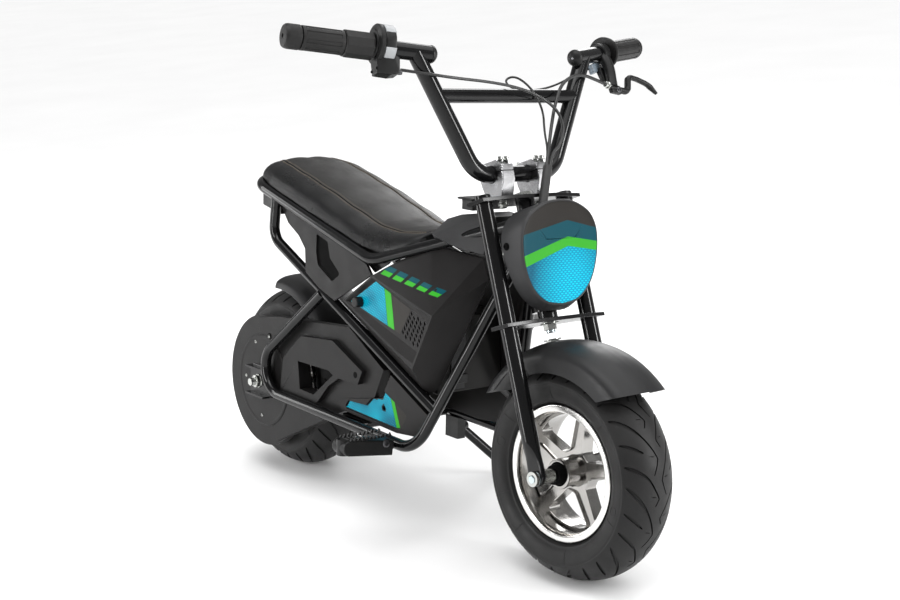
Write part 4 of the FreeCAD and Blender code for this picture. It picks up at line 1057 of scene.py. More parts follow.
# ---------------------------------------------------------------- number board
def board_paint():
    m, nt, bsdf = nodes_of("board_print")
    tex = add(nt, "ShaderNodeTexCoord")
    sep = add(nt, "ShaderNodeSeparateXYZ")
    nt.links.new(tex.outputs["Object"], sep.inputs[0])

    def mth(op, a, b=None, c=None):
        n = add(nt, "ShaderNodeMath", operation=op)
        for i, q in enumerate((a, b, c)):
            if q is None:
                continue
            if isinstance(q, (int, float)):
                n.inputs[i].default_value = q
            else:
                nt.links.new(q, n.inputs[i])
        return n.outputs[0]
    w0 = 0.0125
    left = mth("MAXIMUM", mth("SUBTRACT", w0, sep.outputs["Y"]), 0.0)
    rite = mth("MAXIMUM", mth("SUBTRACT", sep.outputs["Y"], w0), 0.0)

    def above(apex, kl, kr):
        e = mth("ADD", sep.outputs["Z"], mth("ADD", mth("MULTIPLY", left, kl), mth("MULTIPLY", rite, kr)))
        return mth("GREATER_THAN", e, apex)
    # small dashes in offset rows on a blue that darkens to the sides
    comb = add(nt, "ShaderNodeCombineXYZ")
    nt.links.new(mth("ADD", sep.outputs["Y"], 1.0), comb.inputs[0])
    nt.links.new(mth("ADD", sep.outputs["Z"], 1.0), comb.inputs[1])
    row = mth("DIVIDE", mth("ADD", sep.outputs["Z"], 1.0), 0.0027)
    odd = mth("MODULO", mth("FLOOR", row), 2.0)
    col_ = mth("ADD", mth("DIVIDE", mth("ADD", sep.outputs["Y"], 1.0), 0.0068), mth("MULTIPLY", odd, 0.5))
    fx = mth("ABSOLUTE", mth("SUBTRACT", mth("FRACT", col_), 0.5))
    fz = mth("ABSOLUTE", mth("SUBTRACT", mth("FRACT", row), 0.5))
    dx = mth("DIVIDE", fx, 0.36)
    dz = mth("DIVIDE", fz, 0.34)
    dist = mth("ADD", mth("POWER", dx, 2.6), mth("POWER", dz, 2.2))
    dash = ranged(nt, dist, 1.0, 0.0, 0.55, 1.15)
    # brightness: strongest low and toward one side
    cx = mth("SUBTRACT", sep.outputs["Y"], 0.018)
    cz = mth("SUBTRACT", sep.outputs["Z"], 0.225)
    rr = mth("ADD", mth("POWER", mth("ABSOLUTE", mth("DIVIDE", cx, 0.066)), 2.0), mth("POWER", mth("ABSOLUTE", mth("DIVIDE", cz, 0.085)), 2.0))
    glow = ranged(nt, rr, 1.0, 0.0, 0.0, 1.25)
    base = mixed(nt, glow, (0.0, 0.075, 0.135), (0.0, 0.24, 0.42))
    dots = mixed(nt, glow, (0.0, 0.10, 0.165), (0.0, 0.56, 0.70))
    blue = mixed(nt, dash, base, dots)
    c = mixed(nt, above(0.2835, 0.295, 0.155), blue, (0.032, 0.30, 0.018))
    c = mixed(nt, above(0.2955, 0.265, 0.160), c, (0.0, 0.050, 0.070))
    c = mixed(nt, above(0.3160, 0.195, 0.225), c, (0.018, 0.016, 0.014))
    # uneven gloss and a fine grain on the print
    rg = ranged(nt, noise(nt, 40, 5.0), 0.30, 0.40, 0.3, 0.7)
    finish_mat(nt, bsdf, c, rg, bump=noise(nt, 900, 3.0), bump_mm=0.02, coat=0.0, ior=1.2)


board_paint()
FACE_PTS = [(344, 0), (342.2, 20), (336.5, 38), (325.5, 56), (308, 67), (288, 69.6), (265, 66.8), (243, 59), (225, 45.5), (213, 26), (209, 0)]
hf = spline2([(w, s) for s, w in FACE_PTS], 4)
face = [Vector((p[0], p[1])) for p in hf] + [Vector((-p[0], p[1])) for p in reversed(hf[1:-1])]


def face_t(s):
    return 0.25 * s - 22


def board_ring(loop, dt, flat=None):
    return [Vector(((face_t(p[1]) + dt) if flat is None else flat(p), p[0], p[1])) for p in loop]


def rear_t(p):
    base = 15.5 - (0 if p[1] > 250 else (250 - p[1]) * 0.05)
    w = abs(p[0])
    keep = math.sqrt(max(0.0, 23.0 ** 2 - w * w)) + 0.5 if w < 23 else 0
    return max(base, keep)


back = [Vector((p[0] + math.copysign(1.5, p[0]) * min(1, abs(p[0]) / 12), p[1] - (4 if p[1] < 250 else 4 * max(0, (270 - p[1]) / 20) if p[1] < 270 else 0))) for p in face]
bb = Batch("board_shell", ["cover_grey", "matt_black"], STEER)
rings = [board_ring(back, 0, rear_t)]
for q in (0.35, 0.7):
    rings.append([a.lerp(b, q) for a, b in zip(board_ring(back, 0, rear_t), board_ring(face, -4.5))])
rings.append(board_ring(face, -4.5))
rings.append(board_ring(inset(face, 0.35), -2.4))
rings.append(board_ring(inset(face, 1.2), -0.9))
rings.append(board_ring(inset(face, 2.4), -0.2))
rings.append(board_ring(inset(face, 3.2), 0.0))
rings.append(board_ring(inset(face, 3.6), -0.6))
inner = inset(face, 3.0)
inner_b = inset(back, 3.0)
ins = [board_ring(inner, -4.0), [a.lerp(b, 0.5) for a, b in zip(board_ring(inner, -4.0), board_ring(inner_b, 0, rear_t))], board_ring(inner_b, 0, rear_t)]
v, f = loop_rings(rings, False, False)
bb.put((v, f), "cover_grey")
bb.put(loop_rings([board_ring(inset(face, 3.5), -0.6), board_ring(inset(face, 20), -0.6), board_ring(inset(face, 40), -0.6)], False, True), "matt_black")
bb.put(loop_rings(ins, True, False), "matt_black")
bb.put(loop_rings([rings[0], ins[-1]], False, False), "cover_grey")
bb.make("steering", ("number_board",), smooth=42)
pr = Batch("board_face", ["board_print"], STEER)
pr.put(loop_rings([board_ring(inset(face, 3.7), -0.55), board_ring(inset(face, 3.75), -0.1), board_ring(inset(face, 4.3), 0.15), board_ring(inset(face, 9), 0.22),
                   board_ring(inset(face, 25), 0.3), board_ring(inset(face, 44), 0.3)], True, True), "board_print")
pr.make("steering", smooth=42)
sb = Batch("board_screws", ["matt_black", "zinc"], STEER)
for s_ in (-1, 1):
    bolt(sb, (23.6, 70.6 * s_, 293.2), (0, s_, 0), 3.6, 2.2, 5.0, 0.8, "matt_black", cap=True)
    bolt(sb, (10.5, 60.5 * s_ + 2.5 * s_, 288.0), (-0.3, s_ * 0.95, 0), 4.2, 4.0, 5.4, 1.0, "zinc")
sb.make("steering")


# ---------------------------------------------------------------- grips, throttle and lever
GRIP_IN, GRIP_OUT = Vector((18.6, 128.8, 548.8)), Vector((-24.3, 300.6, 581.1))


def grip_frame(side):
    a = Vector((GRIP_IN.x, GRIP_IN.y * side, GRIP_IN.z))
    e = (Vector((GRIP_OUT.x, GRIP_OUT.y * side, GRIP_OUT.z)) - a).normalized()
    vv = (Vector((0, 0, 1)) - e * e.z).normalized()
    ff = (Vector((1, 0, 0)) - e * e.x - vv * vv.x).normalized()
    m = Matrix((ff, vv, e)).transposed().to_4x4()
    m.translation = a
    return m


GR = {-1: grip_frame(-1), 1: grip_frame(1)}


def hull_of(points, width=1.0, segs=2):
    bm = bmesh.new()
    for p in points:
        bm.verts.new(p)
    res = bmesh.ops.convex_hull(bm, input=bm.verts)
    junk = [g for g in res["geom_interior"] if isinstance(g, bmesh.types.BMVert)]
    if junk:
        bmesh.ops.delete(bm, geom=junk, context="VERTS")
    bmesh.ops.dissolve_limit(bm, angle_limit=rad(1), verts=bm.verts, edges=bm.edges)
    if width:
        bmesh.ops.bevel(bm, geom=list(bm.edges), offset=width, segments=segs, profile=0.5, affect="EDGES", clamp_overlap=True)
    bm.verts.ensure_lookup_table()
    out = [tuple(q.co) for q in bm.verts], [[q.index for q in fc.verts] for fc in bm.faces]
    bm.free()
    return out


def slotted(z0, z1, r, slots, depth=1.1, share=0.55, start=0.0):
    """Grip sleeve with long sunk slots between its lands."""
    angs, inn = [], []
    wid = 360.0 / slots
    hw = wid * share / 2
    for k in range(slots):
        c = start + wid * k
        for d, q in ((-hw, 0), (-hw + 1.6, 1), (-hw * 0.45, 1), (hw * 0.45, 1), (hw - 1.6, 1), (hw, 0), (hw + (wid / 2 - hw) * 0.5, 0), (wid / 2, 0)):
            angs.append(c + d)
            inn.append(q)
    zs = [(z0, -0.7, 0), (z0 + 0.3, -0.2, 0), (z0 + 1.0, 0, 0), (z0 + 4.2, 0, 0), (z0 + 5.0, 0, 1), (z0 + 6.5, 0, 1), ((z0 + z1) / 2, 0, 1),
          (z1 - 6.5, 0, 1), (z1 - 5.0, 0, 1), (z1 - 4.2, 0, 0), (z1 - 1.0, 0, 0), (z1 - 0.3, -0.2, 0), (z1, -0.7, 0)]
    rings = []
    for z, dr, on in zs:
        rings.append([((r + dr - depth * on * q) * math.cos(rad(a)), (r + dr - depth * on * q) * math.sin(rad(a)), z) for a, q in zip(angs, inn)])
    return loop_rings(rings, False, False)


g = Batch("throttle_grip_sleeve", ["grip_rubber", "matt_black"], STEER)
M = GR[-1]
g.put(lathe([(11.2, 83), (16.6, 83), (17.6, 83.8), (17.8, 85), (17.8, 118.8), (17.3, 120.6), (16.2, 121.4), (14.4, 121.6)], 10), "grip_rubber", M @ turn(12, "Z"))
g.put(lathe([(14.4, 121.3), (14.4, 122.4)], 40), "matt_black", M)
g.put(slotted(122.2, 177.6, 15.6, 9, 1.0, 0.50, 10), "grip_rubber", M)
g.put(lathe([(14.2, 177.0), (14.2, 179.2)], 40), "matt_black", M)
g.put(lathe([(14.2, 178.8), (15.3, 179.0), (15.8, 180.0), (15.8, 194.0), (15.2, 197.0), (13.8, 199.0), (11.6, 199.9), (3.4, 200.0), (3.0, 199.4), (2.9, 195.0), (0, 195.0)], 56), "grip_rubber", M)
g.make("steering", ("throttle_grip",), smooth=30)

g = Batch("throttle_body", ["black_plastic", "switch_grey", "matt_black", "steel_dark"], STEER)
C6 = M @ Matrix.Translation((0, 5.0, 0))
g.put(lathe([(11.3, 57.2), (22.6, 57.2), (24.2, 58.2), (24.6, 60), (24.6, 70), (23.6, 71.6), (21, 72.2), (20, 72.4)], 64), "black_plastic", C6)
g.put(lathe([(20, 72.2), (25.2, 72.6), (26.0, 73.6), (26.0, 77.6), (25.0, 78.8), (20.5, 79.4), (18.4, 80.2), (18.0, 82.2), (11.3, 82.3)], 64), "black_plastic", M @ Matrix.Translation((0, 4.0, 0)))
for a0, a1 in ((22, 84), (-62, -26)):
    n_ = 18
    rr = []
    for k in range(n_ + 1):
        a = rad(a0 + (a1 - a0) * k / n_)
        e_ = 0.0 if 0 < k < n_ else -0.5
        c_, s_ = math.cos(a), math.sin(a)
        rr.append([((24.2) * c_, 24.2 * s_, 57.0), ((25.0 + e_) * c_, (25.0 + e_) * s_, 57.6), ((25.1 + e_) * c_, (25.1 + e_) * s_, 64), ((25.0 + e_) * c_, (25.0 + e_) * s_, 71.2), (24.2 * c_, 24.2 * s_, 71.6), (22.5 * c_, 22.5 * s_, 64.0)])
    g.put(loop_rings(rr), "switch_grey", C6)
g.put(lathe([(12.2, 58.0), (12.2, 71.0)], 40, -20, 40), "steel_dark", M)
box = [(12, -14, 49), (-12, -14, 49), (11, -34, 49), (-11, -34, 49), (12, -10, 80), (-12, -10, 80), (9, -36, 79), (-9, -36, 79), (13, -10, 58), (-13, -10, 58), (9.5, -36.5, 60), (-9.5, -36.5, 60)]
g.put(hull_of(box, 2.2, 3), "black_plastic", M)
g.put(lathe([(3.6, 0), (3.4, 5), (2.7, 8.5), (0, 8.5)], 24), "steel_dark", aim((4.5, -181.5, 529.5), (14, 30, -9)))
for q in ((8.5, -30.0, 79.4), (-8.5, -30, 79.4)):
    bolt(g, M @ Vector(q), M.to_3x3() @ Vector((0, 0, 1)), 2.0, 1.0, 0, 0, "matt_black", cap=True)
g.make("steering", ("throttle_housing",), smooth=34)

g = Batch("left_grip_sleeve", ["grip_rubber", "matt_black"], STEER)
M = GR[1]
g.put(lathe([(11.3, 84.2), (21.4, 84.2), (22.7, 85.2), (23.0, 87), (22.6, 89.6), (20.5, 90.6), (17.2, 91.2), (15.4, 92.4), (14.2, 93.4)], 64), "grip_rubber", M)
g.put(slotted(92.6, 176.0, 15.5, 10, 1.0, 0.50, 6), "grip_rubber", M)
g.put(lathe([(14.3, 175.2), (14.6, 176.6), (15.5, 177.2), (15.5, 179.0), (14.6, 181.6), (12.4, 183.0), (3.2, 183.5), (3.0, 181), (0, 181)], 56), "grip_rubber", M)
g.make("steering", ("grip_left",), smooth=30)

g = Batch("brake_lever_set", ["black_plastic", "steel_dark", "zinc", "switch_blue", "matt_black"], STEER)
g.put(lathe([(11.3, 64.4), (13.6, 64.4), (14.8, 65.4), (15.0, 67.4), (15.0, 78.4), (14.6, 80.0), (13.4, 80.8), (11.3, 80.8)], 48), "black_plastic", M)
# arm from the ring down to the pivot, wide at the ring
A0, A1 = Vector((7, 197, 556)), Vector((7, 197, 556)) + Vector((14, -5, -50)).normalized() * 51
pts = [A0.lerp(A1, q) + Vector(off) for q, off in ((0.0, (0, 0, 0)), (0.2, (2.5, 1.0, 0)), (0.45, (2.2, 1.5, 0)), (0.7, (0.8, 0.5, 0)), (1.0, (0, -2, 0)))]
sp_ = []
for i in range(len(pts) - 1):
    for k in range(4):
        u = k / 4
        p0, p1, p2, p3 = pts[max(0, i - 1)], pts[i], pts[i + 1], pts[min(len(pts) - 1, i + 2)]
        sp_.append(0.5 * ((2 * p1) + (p2 - p0) * u + (2 * p0 - 5 * p1 + 4 * p2 - p3) * u * u + (3 * p1 - p0 - 3 * p2 + p3) * u ** 3))
sp_.append(pts[-1])
rr_ = [8.4 - 1.6 * abs(i / (len(sp_) - 1) - 0.0) for i in range(len(sp_))]
g.put(sweep(sp_, rr_, 28, squash=(1.0, 1.12)), "black_plastic")
lp = rounded_path([(20, 184, 507.5), (20, 219, 500), (20, 226, 523), (20, 243, 519), (21, 262, 511.5), (23, 275, 497)], [7, 7, 9, 24, 14], 12)
lr = []
for i, p in enumerate(lp):
    q = i / (len(lp) - 1)
    lr.append(5.6 if q < 0.15 else 5.2 if q < 0.5 else 4.4 if q < 0.92 else 4.7)
lr[0] *= 0.75
lr[-1] *= 0.55
g.put(sweep(lp, lr, 24, squash=(0.82, 1.0)), "black_plastic")
g.put(hull_of([(16, 184, 512), (24, 184, 512), (16, 186, 499), (24, 186, 499), (16, 203, 508), (24, 203, 508), (16, 204, 496), (24, 204, 496)], 1.6, 2), "black_plastic")
bolt(g, (24.2, 198, 502.5), (1, 0, 0), 3.6, 1.8, 4.6, 0.8, "steel_dark", cap=True)
bolt(g, A0 + Vector((10.2, 0.5, -7)), (1, -0.1, 0.1), 3.0, 0.8, 0, 0, "matt_black", cap=True)
# cable adjuster and switch under the tube
e_ = (Vector((25, 150, 518)) - Vector((20, 178, 511))).normalized()
g.put(lathe([(0, 0), (4.6, 0), (5.2, 0.7), (5.2, 5.2), (4.6, 5.8), (3.6, 6.0), (3.4, 8.6), (4.4, 8.9), (4.4, 11.0), (3.0, 11.6), (0, 11.6)], 18), "zinc", aim(Vector((18.7, 186.5, 509)), e_))
g.put(hull_of([(-6, 176, 546), (4, 176, 546), (-6, 178, 532), (4, 178, 534), (-6, 191, 549), (4, 191, 549), (-6, 192, 536), (4, 192, 536)], 1.2, 2), "switch_blue")
g.put(hull_of([(-2, 186, 540), (8, 186, 540), (6, 184, 518), (14, 184, 516), (-2, 194, 540), (8, 194, 540), (6, 193, 516), (14, 193, 515)], 1.2, 2), "black_plastic")
g.make("steering", ("brake_lever",), smooth=34)

# domed plugs in the inner ends of the grip tubes
g = Batch("bar_plugs", ["black_plastic", "steel_dark"], STEER)
for s_ in (-1, 1):
    g.put(lathe([(0, -6.8), (2.0, -6.7), (6.0, -5.6), (9.2, -3.6), (11.2, -1.2), (11.7, 0.6), (11.7, 2.0), (11.1, 2.4)], 40), "black_plastic", GR[s_])
    g.put(lathe([(0, -7.3), (1.5, -7.2), (1.9, -6.4)], 20), "steel_dark", GR[s_])
g.make("steering", smooth=40)

# split clamps of the handlebar with their bolts
cl = copy_of("bar_clamps", "bar_clamp_blocks", ["clamp_alu"], 2.0)
bevel(cl, 1.1 * MM, 3, 35)
weighted(cl)
done(cl, "steering", ("bar_clamps",))
g = Batch("clamp_bolts", ["zinc", "matt_black"], STEER)
for s_ in (-1, 1):
    for t_, z_ in ((8.5, 410.2), (-26.2, 409.6)):
        for dy in (-5.2, 5.2):
            bolt(g, (t_, 32 * s_ + dy, z_), (0.08 if t_ > 0 else -0.1, 0, 1), 3.4, 4.4, 4.6, 0.9, "zinc", cap=True)
    for z_ in (395.5,):
        g.put(hull_of([(14.2, 32 * s_ - 10.6, z_ - 0.5), (14.2, 32 * s_ + 10.6, z_ - 0.5), (14.2, 32 * s_ - 10.6, z_ + 0.5), (14.2, 32 * s_ + 10.6, z_ + 0.5),
                       (-32.2, 32 * s_ - 10.6, z_ - 0.5), (-32.2, 32 * s_ + 10.6, z_ - 0.5), (-32.2, 32 * s_ - 10.6, z_ + 0.5), (-32.2, 32 * s_ + 10.6, z_ + 0.5)], 0.0), "matt_black")
    bolt(g, (-8, 32 * s_, 354.6), (0, 0, -1), 5.0, 4.0, 7.5, 1.2, "zinc")
g.make("steering", smooth=34)
for n_ in ("fork_clamps",):
    cc = copy_of(n_, "fork_plates", ["frame_black"], 2.0)
    bevel(cc, 0.7 * MM, 2, 35)
    weighted(cc)
    done(cc, "steering", (n_,))

# ---------------------------------------------------------------- printed decor of the side covers
def decor(name, kind):
    m, nt, bsdf = nodes_of(name)
    tex = add(nt, "ShaderNodeTexCoord")
    sep = add(nt, "ShaderNodeSeparateXYZ")
    nt.links.new(tex.outputs["Object"], sep.inputs[0])

    def mth(op, a, b=None):
        n = add(nt, "ShaderNodeMath", operation=op)
        for i, q in enumerate((a, b)):
            if q is None:
                continue
            if isinstance(q, (int, float)):
                n.inputs[i].default_value = q
            else:
                nt.links.new(q, n.inputs[i])
        return n.outputs[0]
    if kind == "blue":
        u = mth("ADD", mth("MULTIPLY", sep.outputs["X"], 0.94), mth("MULTIPLY", sep.outputs["Z"], 0.34))
        w = mth("SUBTRACT", mth("MULTIPLY", sep.outputs["Z"], 0.94), mth("MULTIPLY", sep.outputs["X"], 0.34))
        row = mth("DIVIDE", mth("ADD", w, 2.0), 0.0024)
        odd = mth("MODULO", mth("FLOOR", row), 2.0)
        col_ = mth("ADD", mth("DIVIDE", mth("ADD", u, 2.0), 0.0060), mth("MULTIPLY", odd, 0.5))
        fx = mth("DIVIDE", mth("ABSOLUTE", mth("SUBTRACT", mth("FRACT", col_), 0.5)), 0.37)
        fz = mth("DIVIDE", mth("ABSOLUTE", mth("SUBTRACT", mth("FRACT", row), 0.5)), 0.34)
        dist = mth("ADD", mth("POWER", fx, 2.6), mth("POWER", fz, 2.2))
        dash = ranged(nt, dist, 1.0, 0.0, 0.55, 1.15)
        big = noise(nt, 16, 2.0)
        base = mixed(nt, ranged(nt, big, 0, 1, 0.35, 0.65), (0.0, 0.09, 0.16), (0.0, 0.26, 0.40))
        dots = mixed(nt, ranged(nt, big, 0, 1, 0.35, 0.65), (0.0, 0.22, 0.32), (0.0, 0.56, 0.70))
        c = mixed(nt, dash, base, dots)
    else:
        a, b = {"green": ((0.033, 0.34, 0.020), (0.038, 0.38, 0.024)), "teal": ((0.0, 0.060, 0.080), (0.0, 0.070, 0.094)),
                "dark": ((0.022, 0.019, 0.017), (0.026, 0.023, 0.020))}[kind]
        c = mixed(nt, ranged(nt, noise(nt, 22, 4.0), 0, 1, 0.3, 0.7), a, b)
    finish_mat(nt, bsdf, c, ranged(nt, noise(nt, 40, 5.0), 0.32, 0.42, 0.3, 0.7), bump=noise(nt, 900, 3.0), bump_mm=0.02, ior=1.22)
    return m


for nm_, k_ in (("print_blue", "blue"), ("print_green", "green"), ("print_teal", "teal"), ("print_dark", "dark")):
    decor(nm_, k_)
from mathutils.bvhtree import BVHTree


def onto(target, patches, name, body, side, step=3.0, lift=0.22):
    """Thin printed patches laid on a cover's outer face: (outline in x, z of the bike in mm, material)."""
    dg = bpy.context.evaluated_depsgraph_get()
    ev = target.evaluated_get(dg)
    me_ = ev.to_mesh()
    inv = LEAN.inverted() @ target.matrix_world
    tree = BVHTree.FromPolygons([inv @ v.co for v in me_.vertices], [list(p.vertices) for p in me_.polygons])
    ev.to_mesh_clear()
    b = Batch(name, [], LEAN)
    for outline, mat in patches:
        lp = [Vector(p) for p in outline]
        dense = []
        for i, p in enumerate(lp):
            q = lp[(i + 1) % len(lp)]
            k = max(1, int((q - p).length / step))
            dense += [p.lerp(q, j / k) for j in range(k)]
        co = [Vector(p) for p in dense]
        edges = [(i, (i + 1) % len(co)) for i in range(len(co))]
        xs, zs = [p.x for p in lp], [p.y for p in lp]
        tl = [tuple(p) for p in dense]
        x = min(xs)
        while x < max(xs):
            z = min(zs)
            while z < max(zs):
                if inside((x, z), tl) and min((x - p[0]) ** 2 + (z - p[1]) ** 2 for p in tl) > 1.5:
                    co.append(Vector((x, z)))
                z += step
            x += step
        vo, _, fo, _, _, _ = geometry.delaunay_2d_cdt(co, edges, [], 0, 1e-4)
        pts, ok = [], []
        for p in vo:
            hit = tree.ray_cast(Vector((p.x * MM, 0.16 * side, p.y * MM)), Vector((0, -side, 0)))
            if hit[0] is None:
                pts.append(None)
            else:
                nrm = hit[1] if hit[1].y * side > 0 else -hit[1]
                pts.append((hit[0] + nrm * lift * MM) / MM)
        faces = [q for q in fo if all(pts[i] is not None for i in q) and inside((sum(vo[i].x for i in q) / 3, sum(vo[i].y for i in q) / 3), tl)
                 and max(pts[i].y for i in q) - min(pts[i].y for i in q) < 3.2]
        used = sorted({i for q in faces for i in q})
        remap = {i: k for k, i in enumerate(used)}
        b.put(([pts[i] for i in used], [[remap[i] for i in q] for q in faces]), mat)
    if not b.v:
        return None
    return b.make(body, smooth=40, wn=False)


def prism_world(name, polys, y0, y1, mats=("matt_black",)):
    v, f = [], []
    for poly in polys:
        base, n = len(v), len(poly)
        v += [(x * MM, y0 * MM, z * MM) for x, z in poly] + [(x * MM, y1 * MM, z * MM) for x, z in poly]
        f += [[base + i for i in range(n)], [base + n + i for i in reversed(range(n))]]
        f += [[base + i, base + (i + 1) % n, base + n + (i + 1) % n, base + n + i] for i in range(n)]
    return obj_from(name, v, f, LEAN, mats, None, 0)


def slanted_cut(name, poly, y_top, y_low, slope):
    """Pocket cutter with sloping walls: wider by slope at the outer face."""
    lo = [Vector(p) for p in poly]
    hi = inset(lo, -slope)
    n = len(lo)
    v = [(p.x * MM, y_top * MM, p.y * MM) for p in hi] + [(p.x * MM, y_low * MM, p.y * MM) for p in lo]
    f = [list(range(n)), [n + i for i in reversed(range(n))]] + [[i, (i + 1) % n, n + (i + 1) % n, n + i] for i in range(n)]
    return obj_from(name, v, f, LEAN, ("cover_soft",), None, 0)


# side covers: sunk panel with sloping walls for the decor, and the vent's rhombic holes
RIM_PTS = [(318.5, 351.5), (462, 319), (417, 243), (247, 307.3)]
FLOOR_PTS = [(321.5, 347), (449, 308.5), (427.5, 263), (256, 307.6)]
VENT = [(408, 318), (447, 307), (427, 266), (380.5, 281)]


def rim_y(x, z):
    return 91.4 + 0.0345 * (x - 243) + 0.012 * (z - 307)


fair = copy_of("side_fairings", "side_cover", ["cover_soft"], 1.5)
bpy.context.view_layer.update()
for sd in (-1, 1):
    v_ = [(x * MM, (rim_y(x, z) + 7) * sd * MM, z * MM) for x, z in [tuple(p) for p in inset([Vector(q) for q in RIM_PTS], -1.0)]]
    v_ += [(x * MM, (rim_y(x, z) - 0.2) * sd * MM, z * MM) for x, z in RIM_PTS]
    v_ += [(x * MM, (rim_y(x, z) - 5.4) * sd * MM, z * MM) for x, z in FLOOR_PTS]
    f_ = [[0, 1, 2, 3], [11, 10, 9, 8]] + [[r_ + i, r_ + (i + 1) % 4, r_ + 4 + (i + 1) % 4, r_ + 4 + i] for r_ in (0, 4) for i in range(4)]
    carve(fair, obj_from("pocket%d" % sd, v_, f_, LEAN, ("cover_soft",), None, 0))
    holes = []
    a0, a1, a2, a3 = (Vector(p) for p in VENT)
    for i in range(5):
        for j in range(6):
            u = (i + 0.55) / 5.1
            w = (j + 0.42 + (0.5 if i % 2 else 0.0)) / 6.5
            if w > 0.97:
                continue
            c = a0.lerp(a1, u).lerp(a3.lerp(a2, u), w)
            h, k = 3.9, 2.3
            holes.append([(c.x - k, c.y + 0.6), (c.x - 0.3, c.y + h), (c.x + k, c.y - 0.4), (c.x + 0.3, c.y - h)])
    carve(fair, prism_world("vent%d" % sd, holes, 102 * sd, 80 * sd))
bevel(fair, 1.6 * MM, 3, 25)
weighted(fair)
done(fair, "frame", ("side_fairings",))
KNOB = (283, 311)
SLASHES = []
for i_ in range(5):
    x0, x1 = 334 + 27 * i_, 334 + 27 * i_ + 20 - i_ * 0.5
    top_, low_ = (lambda x: 371.5 - 0.135 * (x - 334)), (lambda x: 358.5 - 0.135 * (x - 334) + 0.02 * (x - 334))
    cut_ = 0.5 * (top_(x0) + low_(x0)) - 1.0
    SLASHES += [([(x0 + 9, top_(x0 + 9)), (x1 + 9, top_(x1 + 9)), (x1 + 4.6, cut_ + 0.4 - 0.135 * 20), (x0 + 4.6, cut_ + 0.4)], "print_teal"),
                ([(x0 + 4.4, cut_ + 0.2), (x1 + 4.4, cut_ + 0.2 - 0.135 * 20), (x1, low_(x1)), (x0, low_(x0))], "print_green")]
for sd in (-1, 1):
    tag = "right" if sd < 0 else "left"
    onto(fair, [([(258, 308.4), (321.5, 345.6), (343, 339.6), (352, 288.4), (257, 307.8)], "print_blue"),
                ([(343.6, 339.4), (360, 334.6), (369, 285), (352.6, 288.2)], "print_green"),
                ([(360.6, 334.4), (409, 319.8), (383, 281.6), (369.6, 284.8)], "print_dark")] + (SLASHES), "side_print_" + tag, "frame", sd)
    kb = Batch("cover_knob_" + tag, ["black_plastic", "matt_black"], LEAN)
    at = Vector((KNOB[0], 90.0 * sd, KNOB[1]))
    kb.put(lathe([(0, -2), (7.4, -2), (7.6, 1.0), (7.4, 8.0), (6.4, 9.2), (0, 9.5)], 40), "black_plastic", aim(at, (0, sd, 0)))
    kb.make("frame")

# lower side panels with their sunk printed field
PAN = [(346, 216), (434, 176), (413, 141), (362, 136), (225, 141), (216, 152), (240, 160), (325, 178)]
SUNK = [(324, 192), (386, 165), (371, 144), (354, 141), (232, 146), (242, 157.5), (287, 160), (300, 172)]
pan = copy_of("lower_panels", "lower_cover", ["cover_soft"], 1.5)
bpy.context.view_layer.update()
for sd in (-1, 1):
    sp = round2([tuple(p) for p in SUNK], [2, 5, 6, 6, 5, 4, 3, 2], 20)
    carve(pan, slanted_cut("sunk%d" % sd, [tuple(p) for p in sp], 84 * sd, 76.4 * sd, 2.6))
    ci = [(328 + 3.6 * math.cos(2 * math.pi * k / 20), 164 + 3.6 * math.sin(2 * math.pi * k / 20)) for k in range(20)]
    carve(pan, prism_world("peg%d" % sd, [ci], 84 * sd, 69 * sd))
bevel(pan, 1.0 * MM, 2, 30)
weighted(pan)
done(pan, "frame", ("lower_panels",))
for sd in (-1, 1):
    onto(pan, [([(322, 190.5), (343, 182), (359, 142.5), (235, 146.7), (243, 157), (288, 159.5), (301, 171)], "print_blue"),
               ([(343.5, 182), (353, 178), (367.5, 144), (359.5, 142.5)], "print_green"),
               ([(353.5, 178), (384, 165), (372, 147), (368, 144)], "print_dark")], "lower_print_" + ("right" if sd < 0 else "left"), "frame", sd, step=2.5)

# wing panels under the seat, with their sunk black window
wing = copy_of("wing_panels", "wing_cover", ["cover_dark"], 1.5)
WIN_PTS = round2([(165, 394), (169, 368), (177, 350), (218, 331.5), (237, 344), (206, 364), (196, 386)], [2, 10, 8, 4, 4, 8, 3], 20)


def wing_y(z):
    return 98 - 0.12 * (z - 300)


for sd in (-1, 1):
    n2 = len(WIN_PTS)
    v_ = [(p[0] * MM, (wing_y(p[1]) + 6) * sd * MM, p[1] * MM) for p in WIN_PTS] + [(p[0] * MM, (wing_y(p[1]) - 2.8) * sd * MM, p[1] * MM) for p in WIN_PTS]
    f_ = [list(range(n2)), [n2 + i for i in reversed(range(n2))]] + [[i, (i + 1) % n2, n2 + (i + 1) % n2, n2 + i] for i in range(n2)]
    carve(wing, obj_from("win%d" % sd, v_, f_, LEAN, ("matt_black",), None, 0))
    wing_floor = onto(wing, [([tuple(p) for p in inset([Vector(q) for q in WIN_PTS], 0.4)], "matt_black")], "wing_window_" + ("right" if sd < 0 else "left"), "frame", sd, lift=0.1)
bevel(wing, 1.2 * MM, 3, 30)
weighted(wing)
done(wing, "frame", ("wing_panels",))

# tank cover, its edges rounded
tank = copy_of("tank_cover", "tank_shell", ["cover_grey"], 1.5)
bevel(tank, 3.0 * MM, 4, 20)
weighted(tank)
done(tank, "frame", ("tank_cover",))

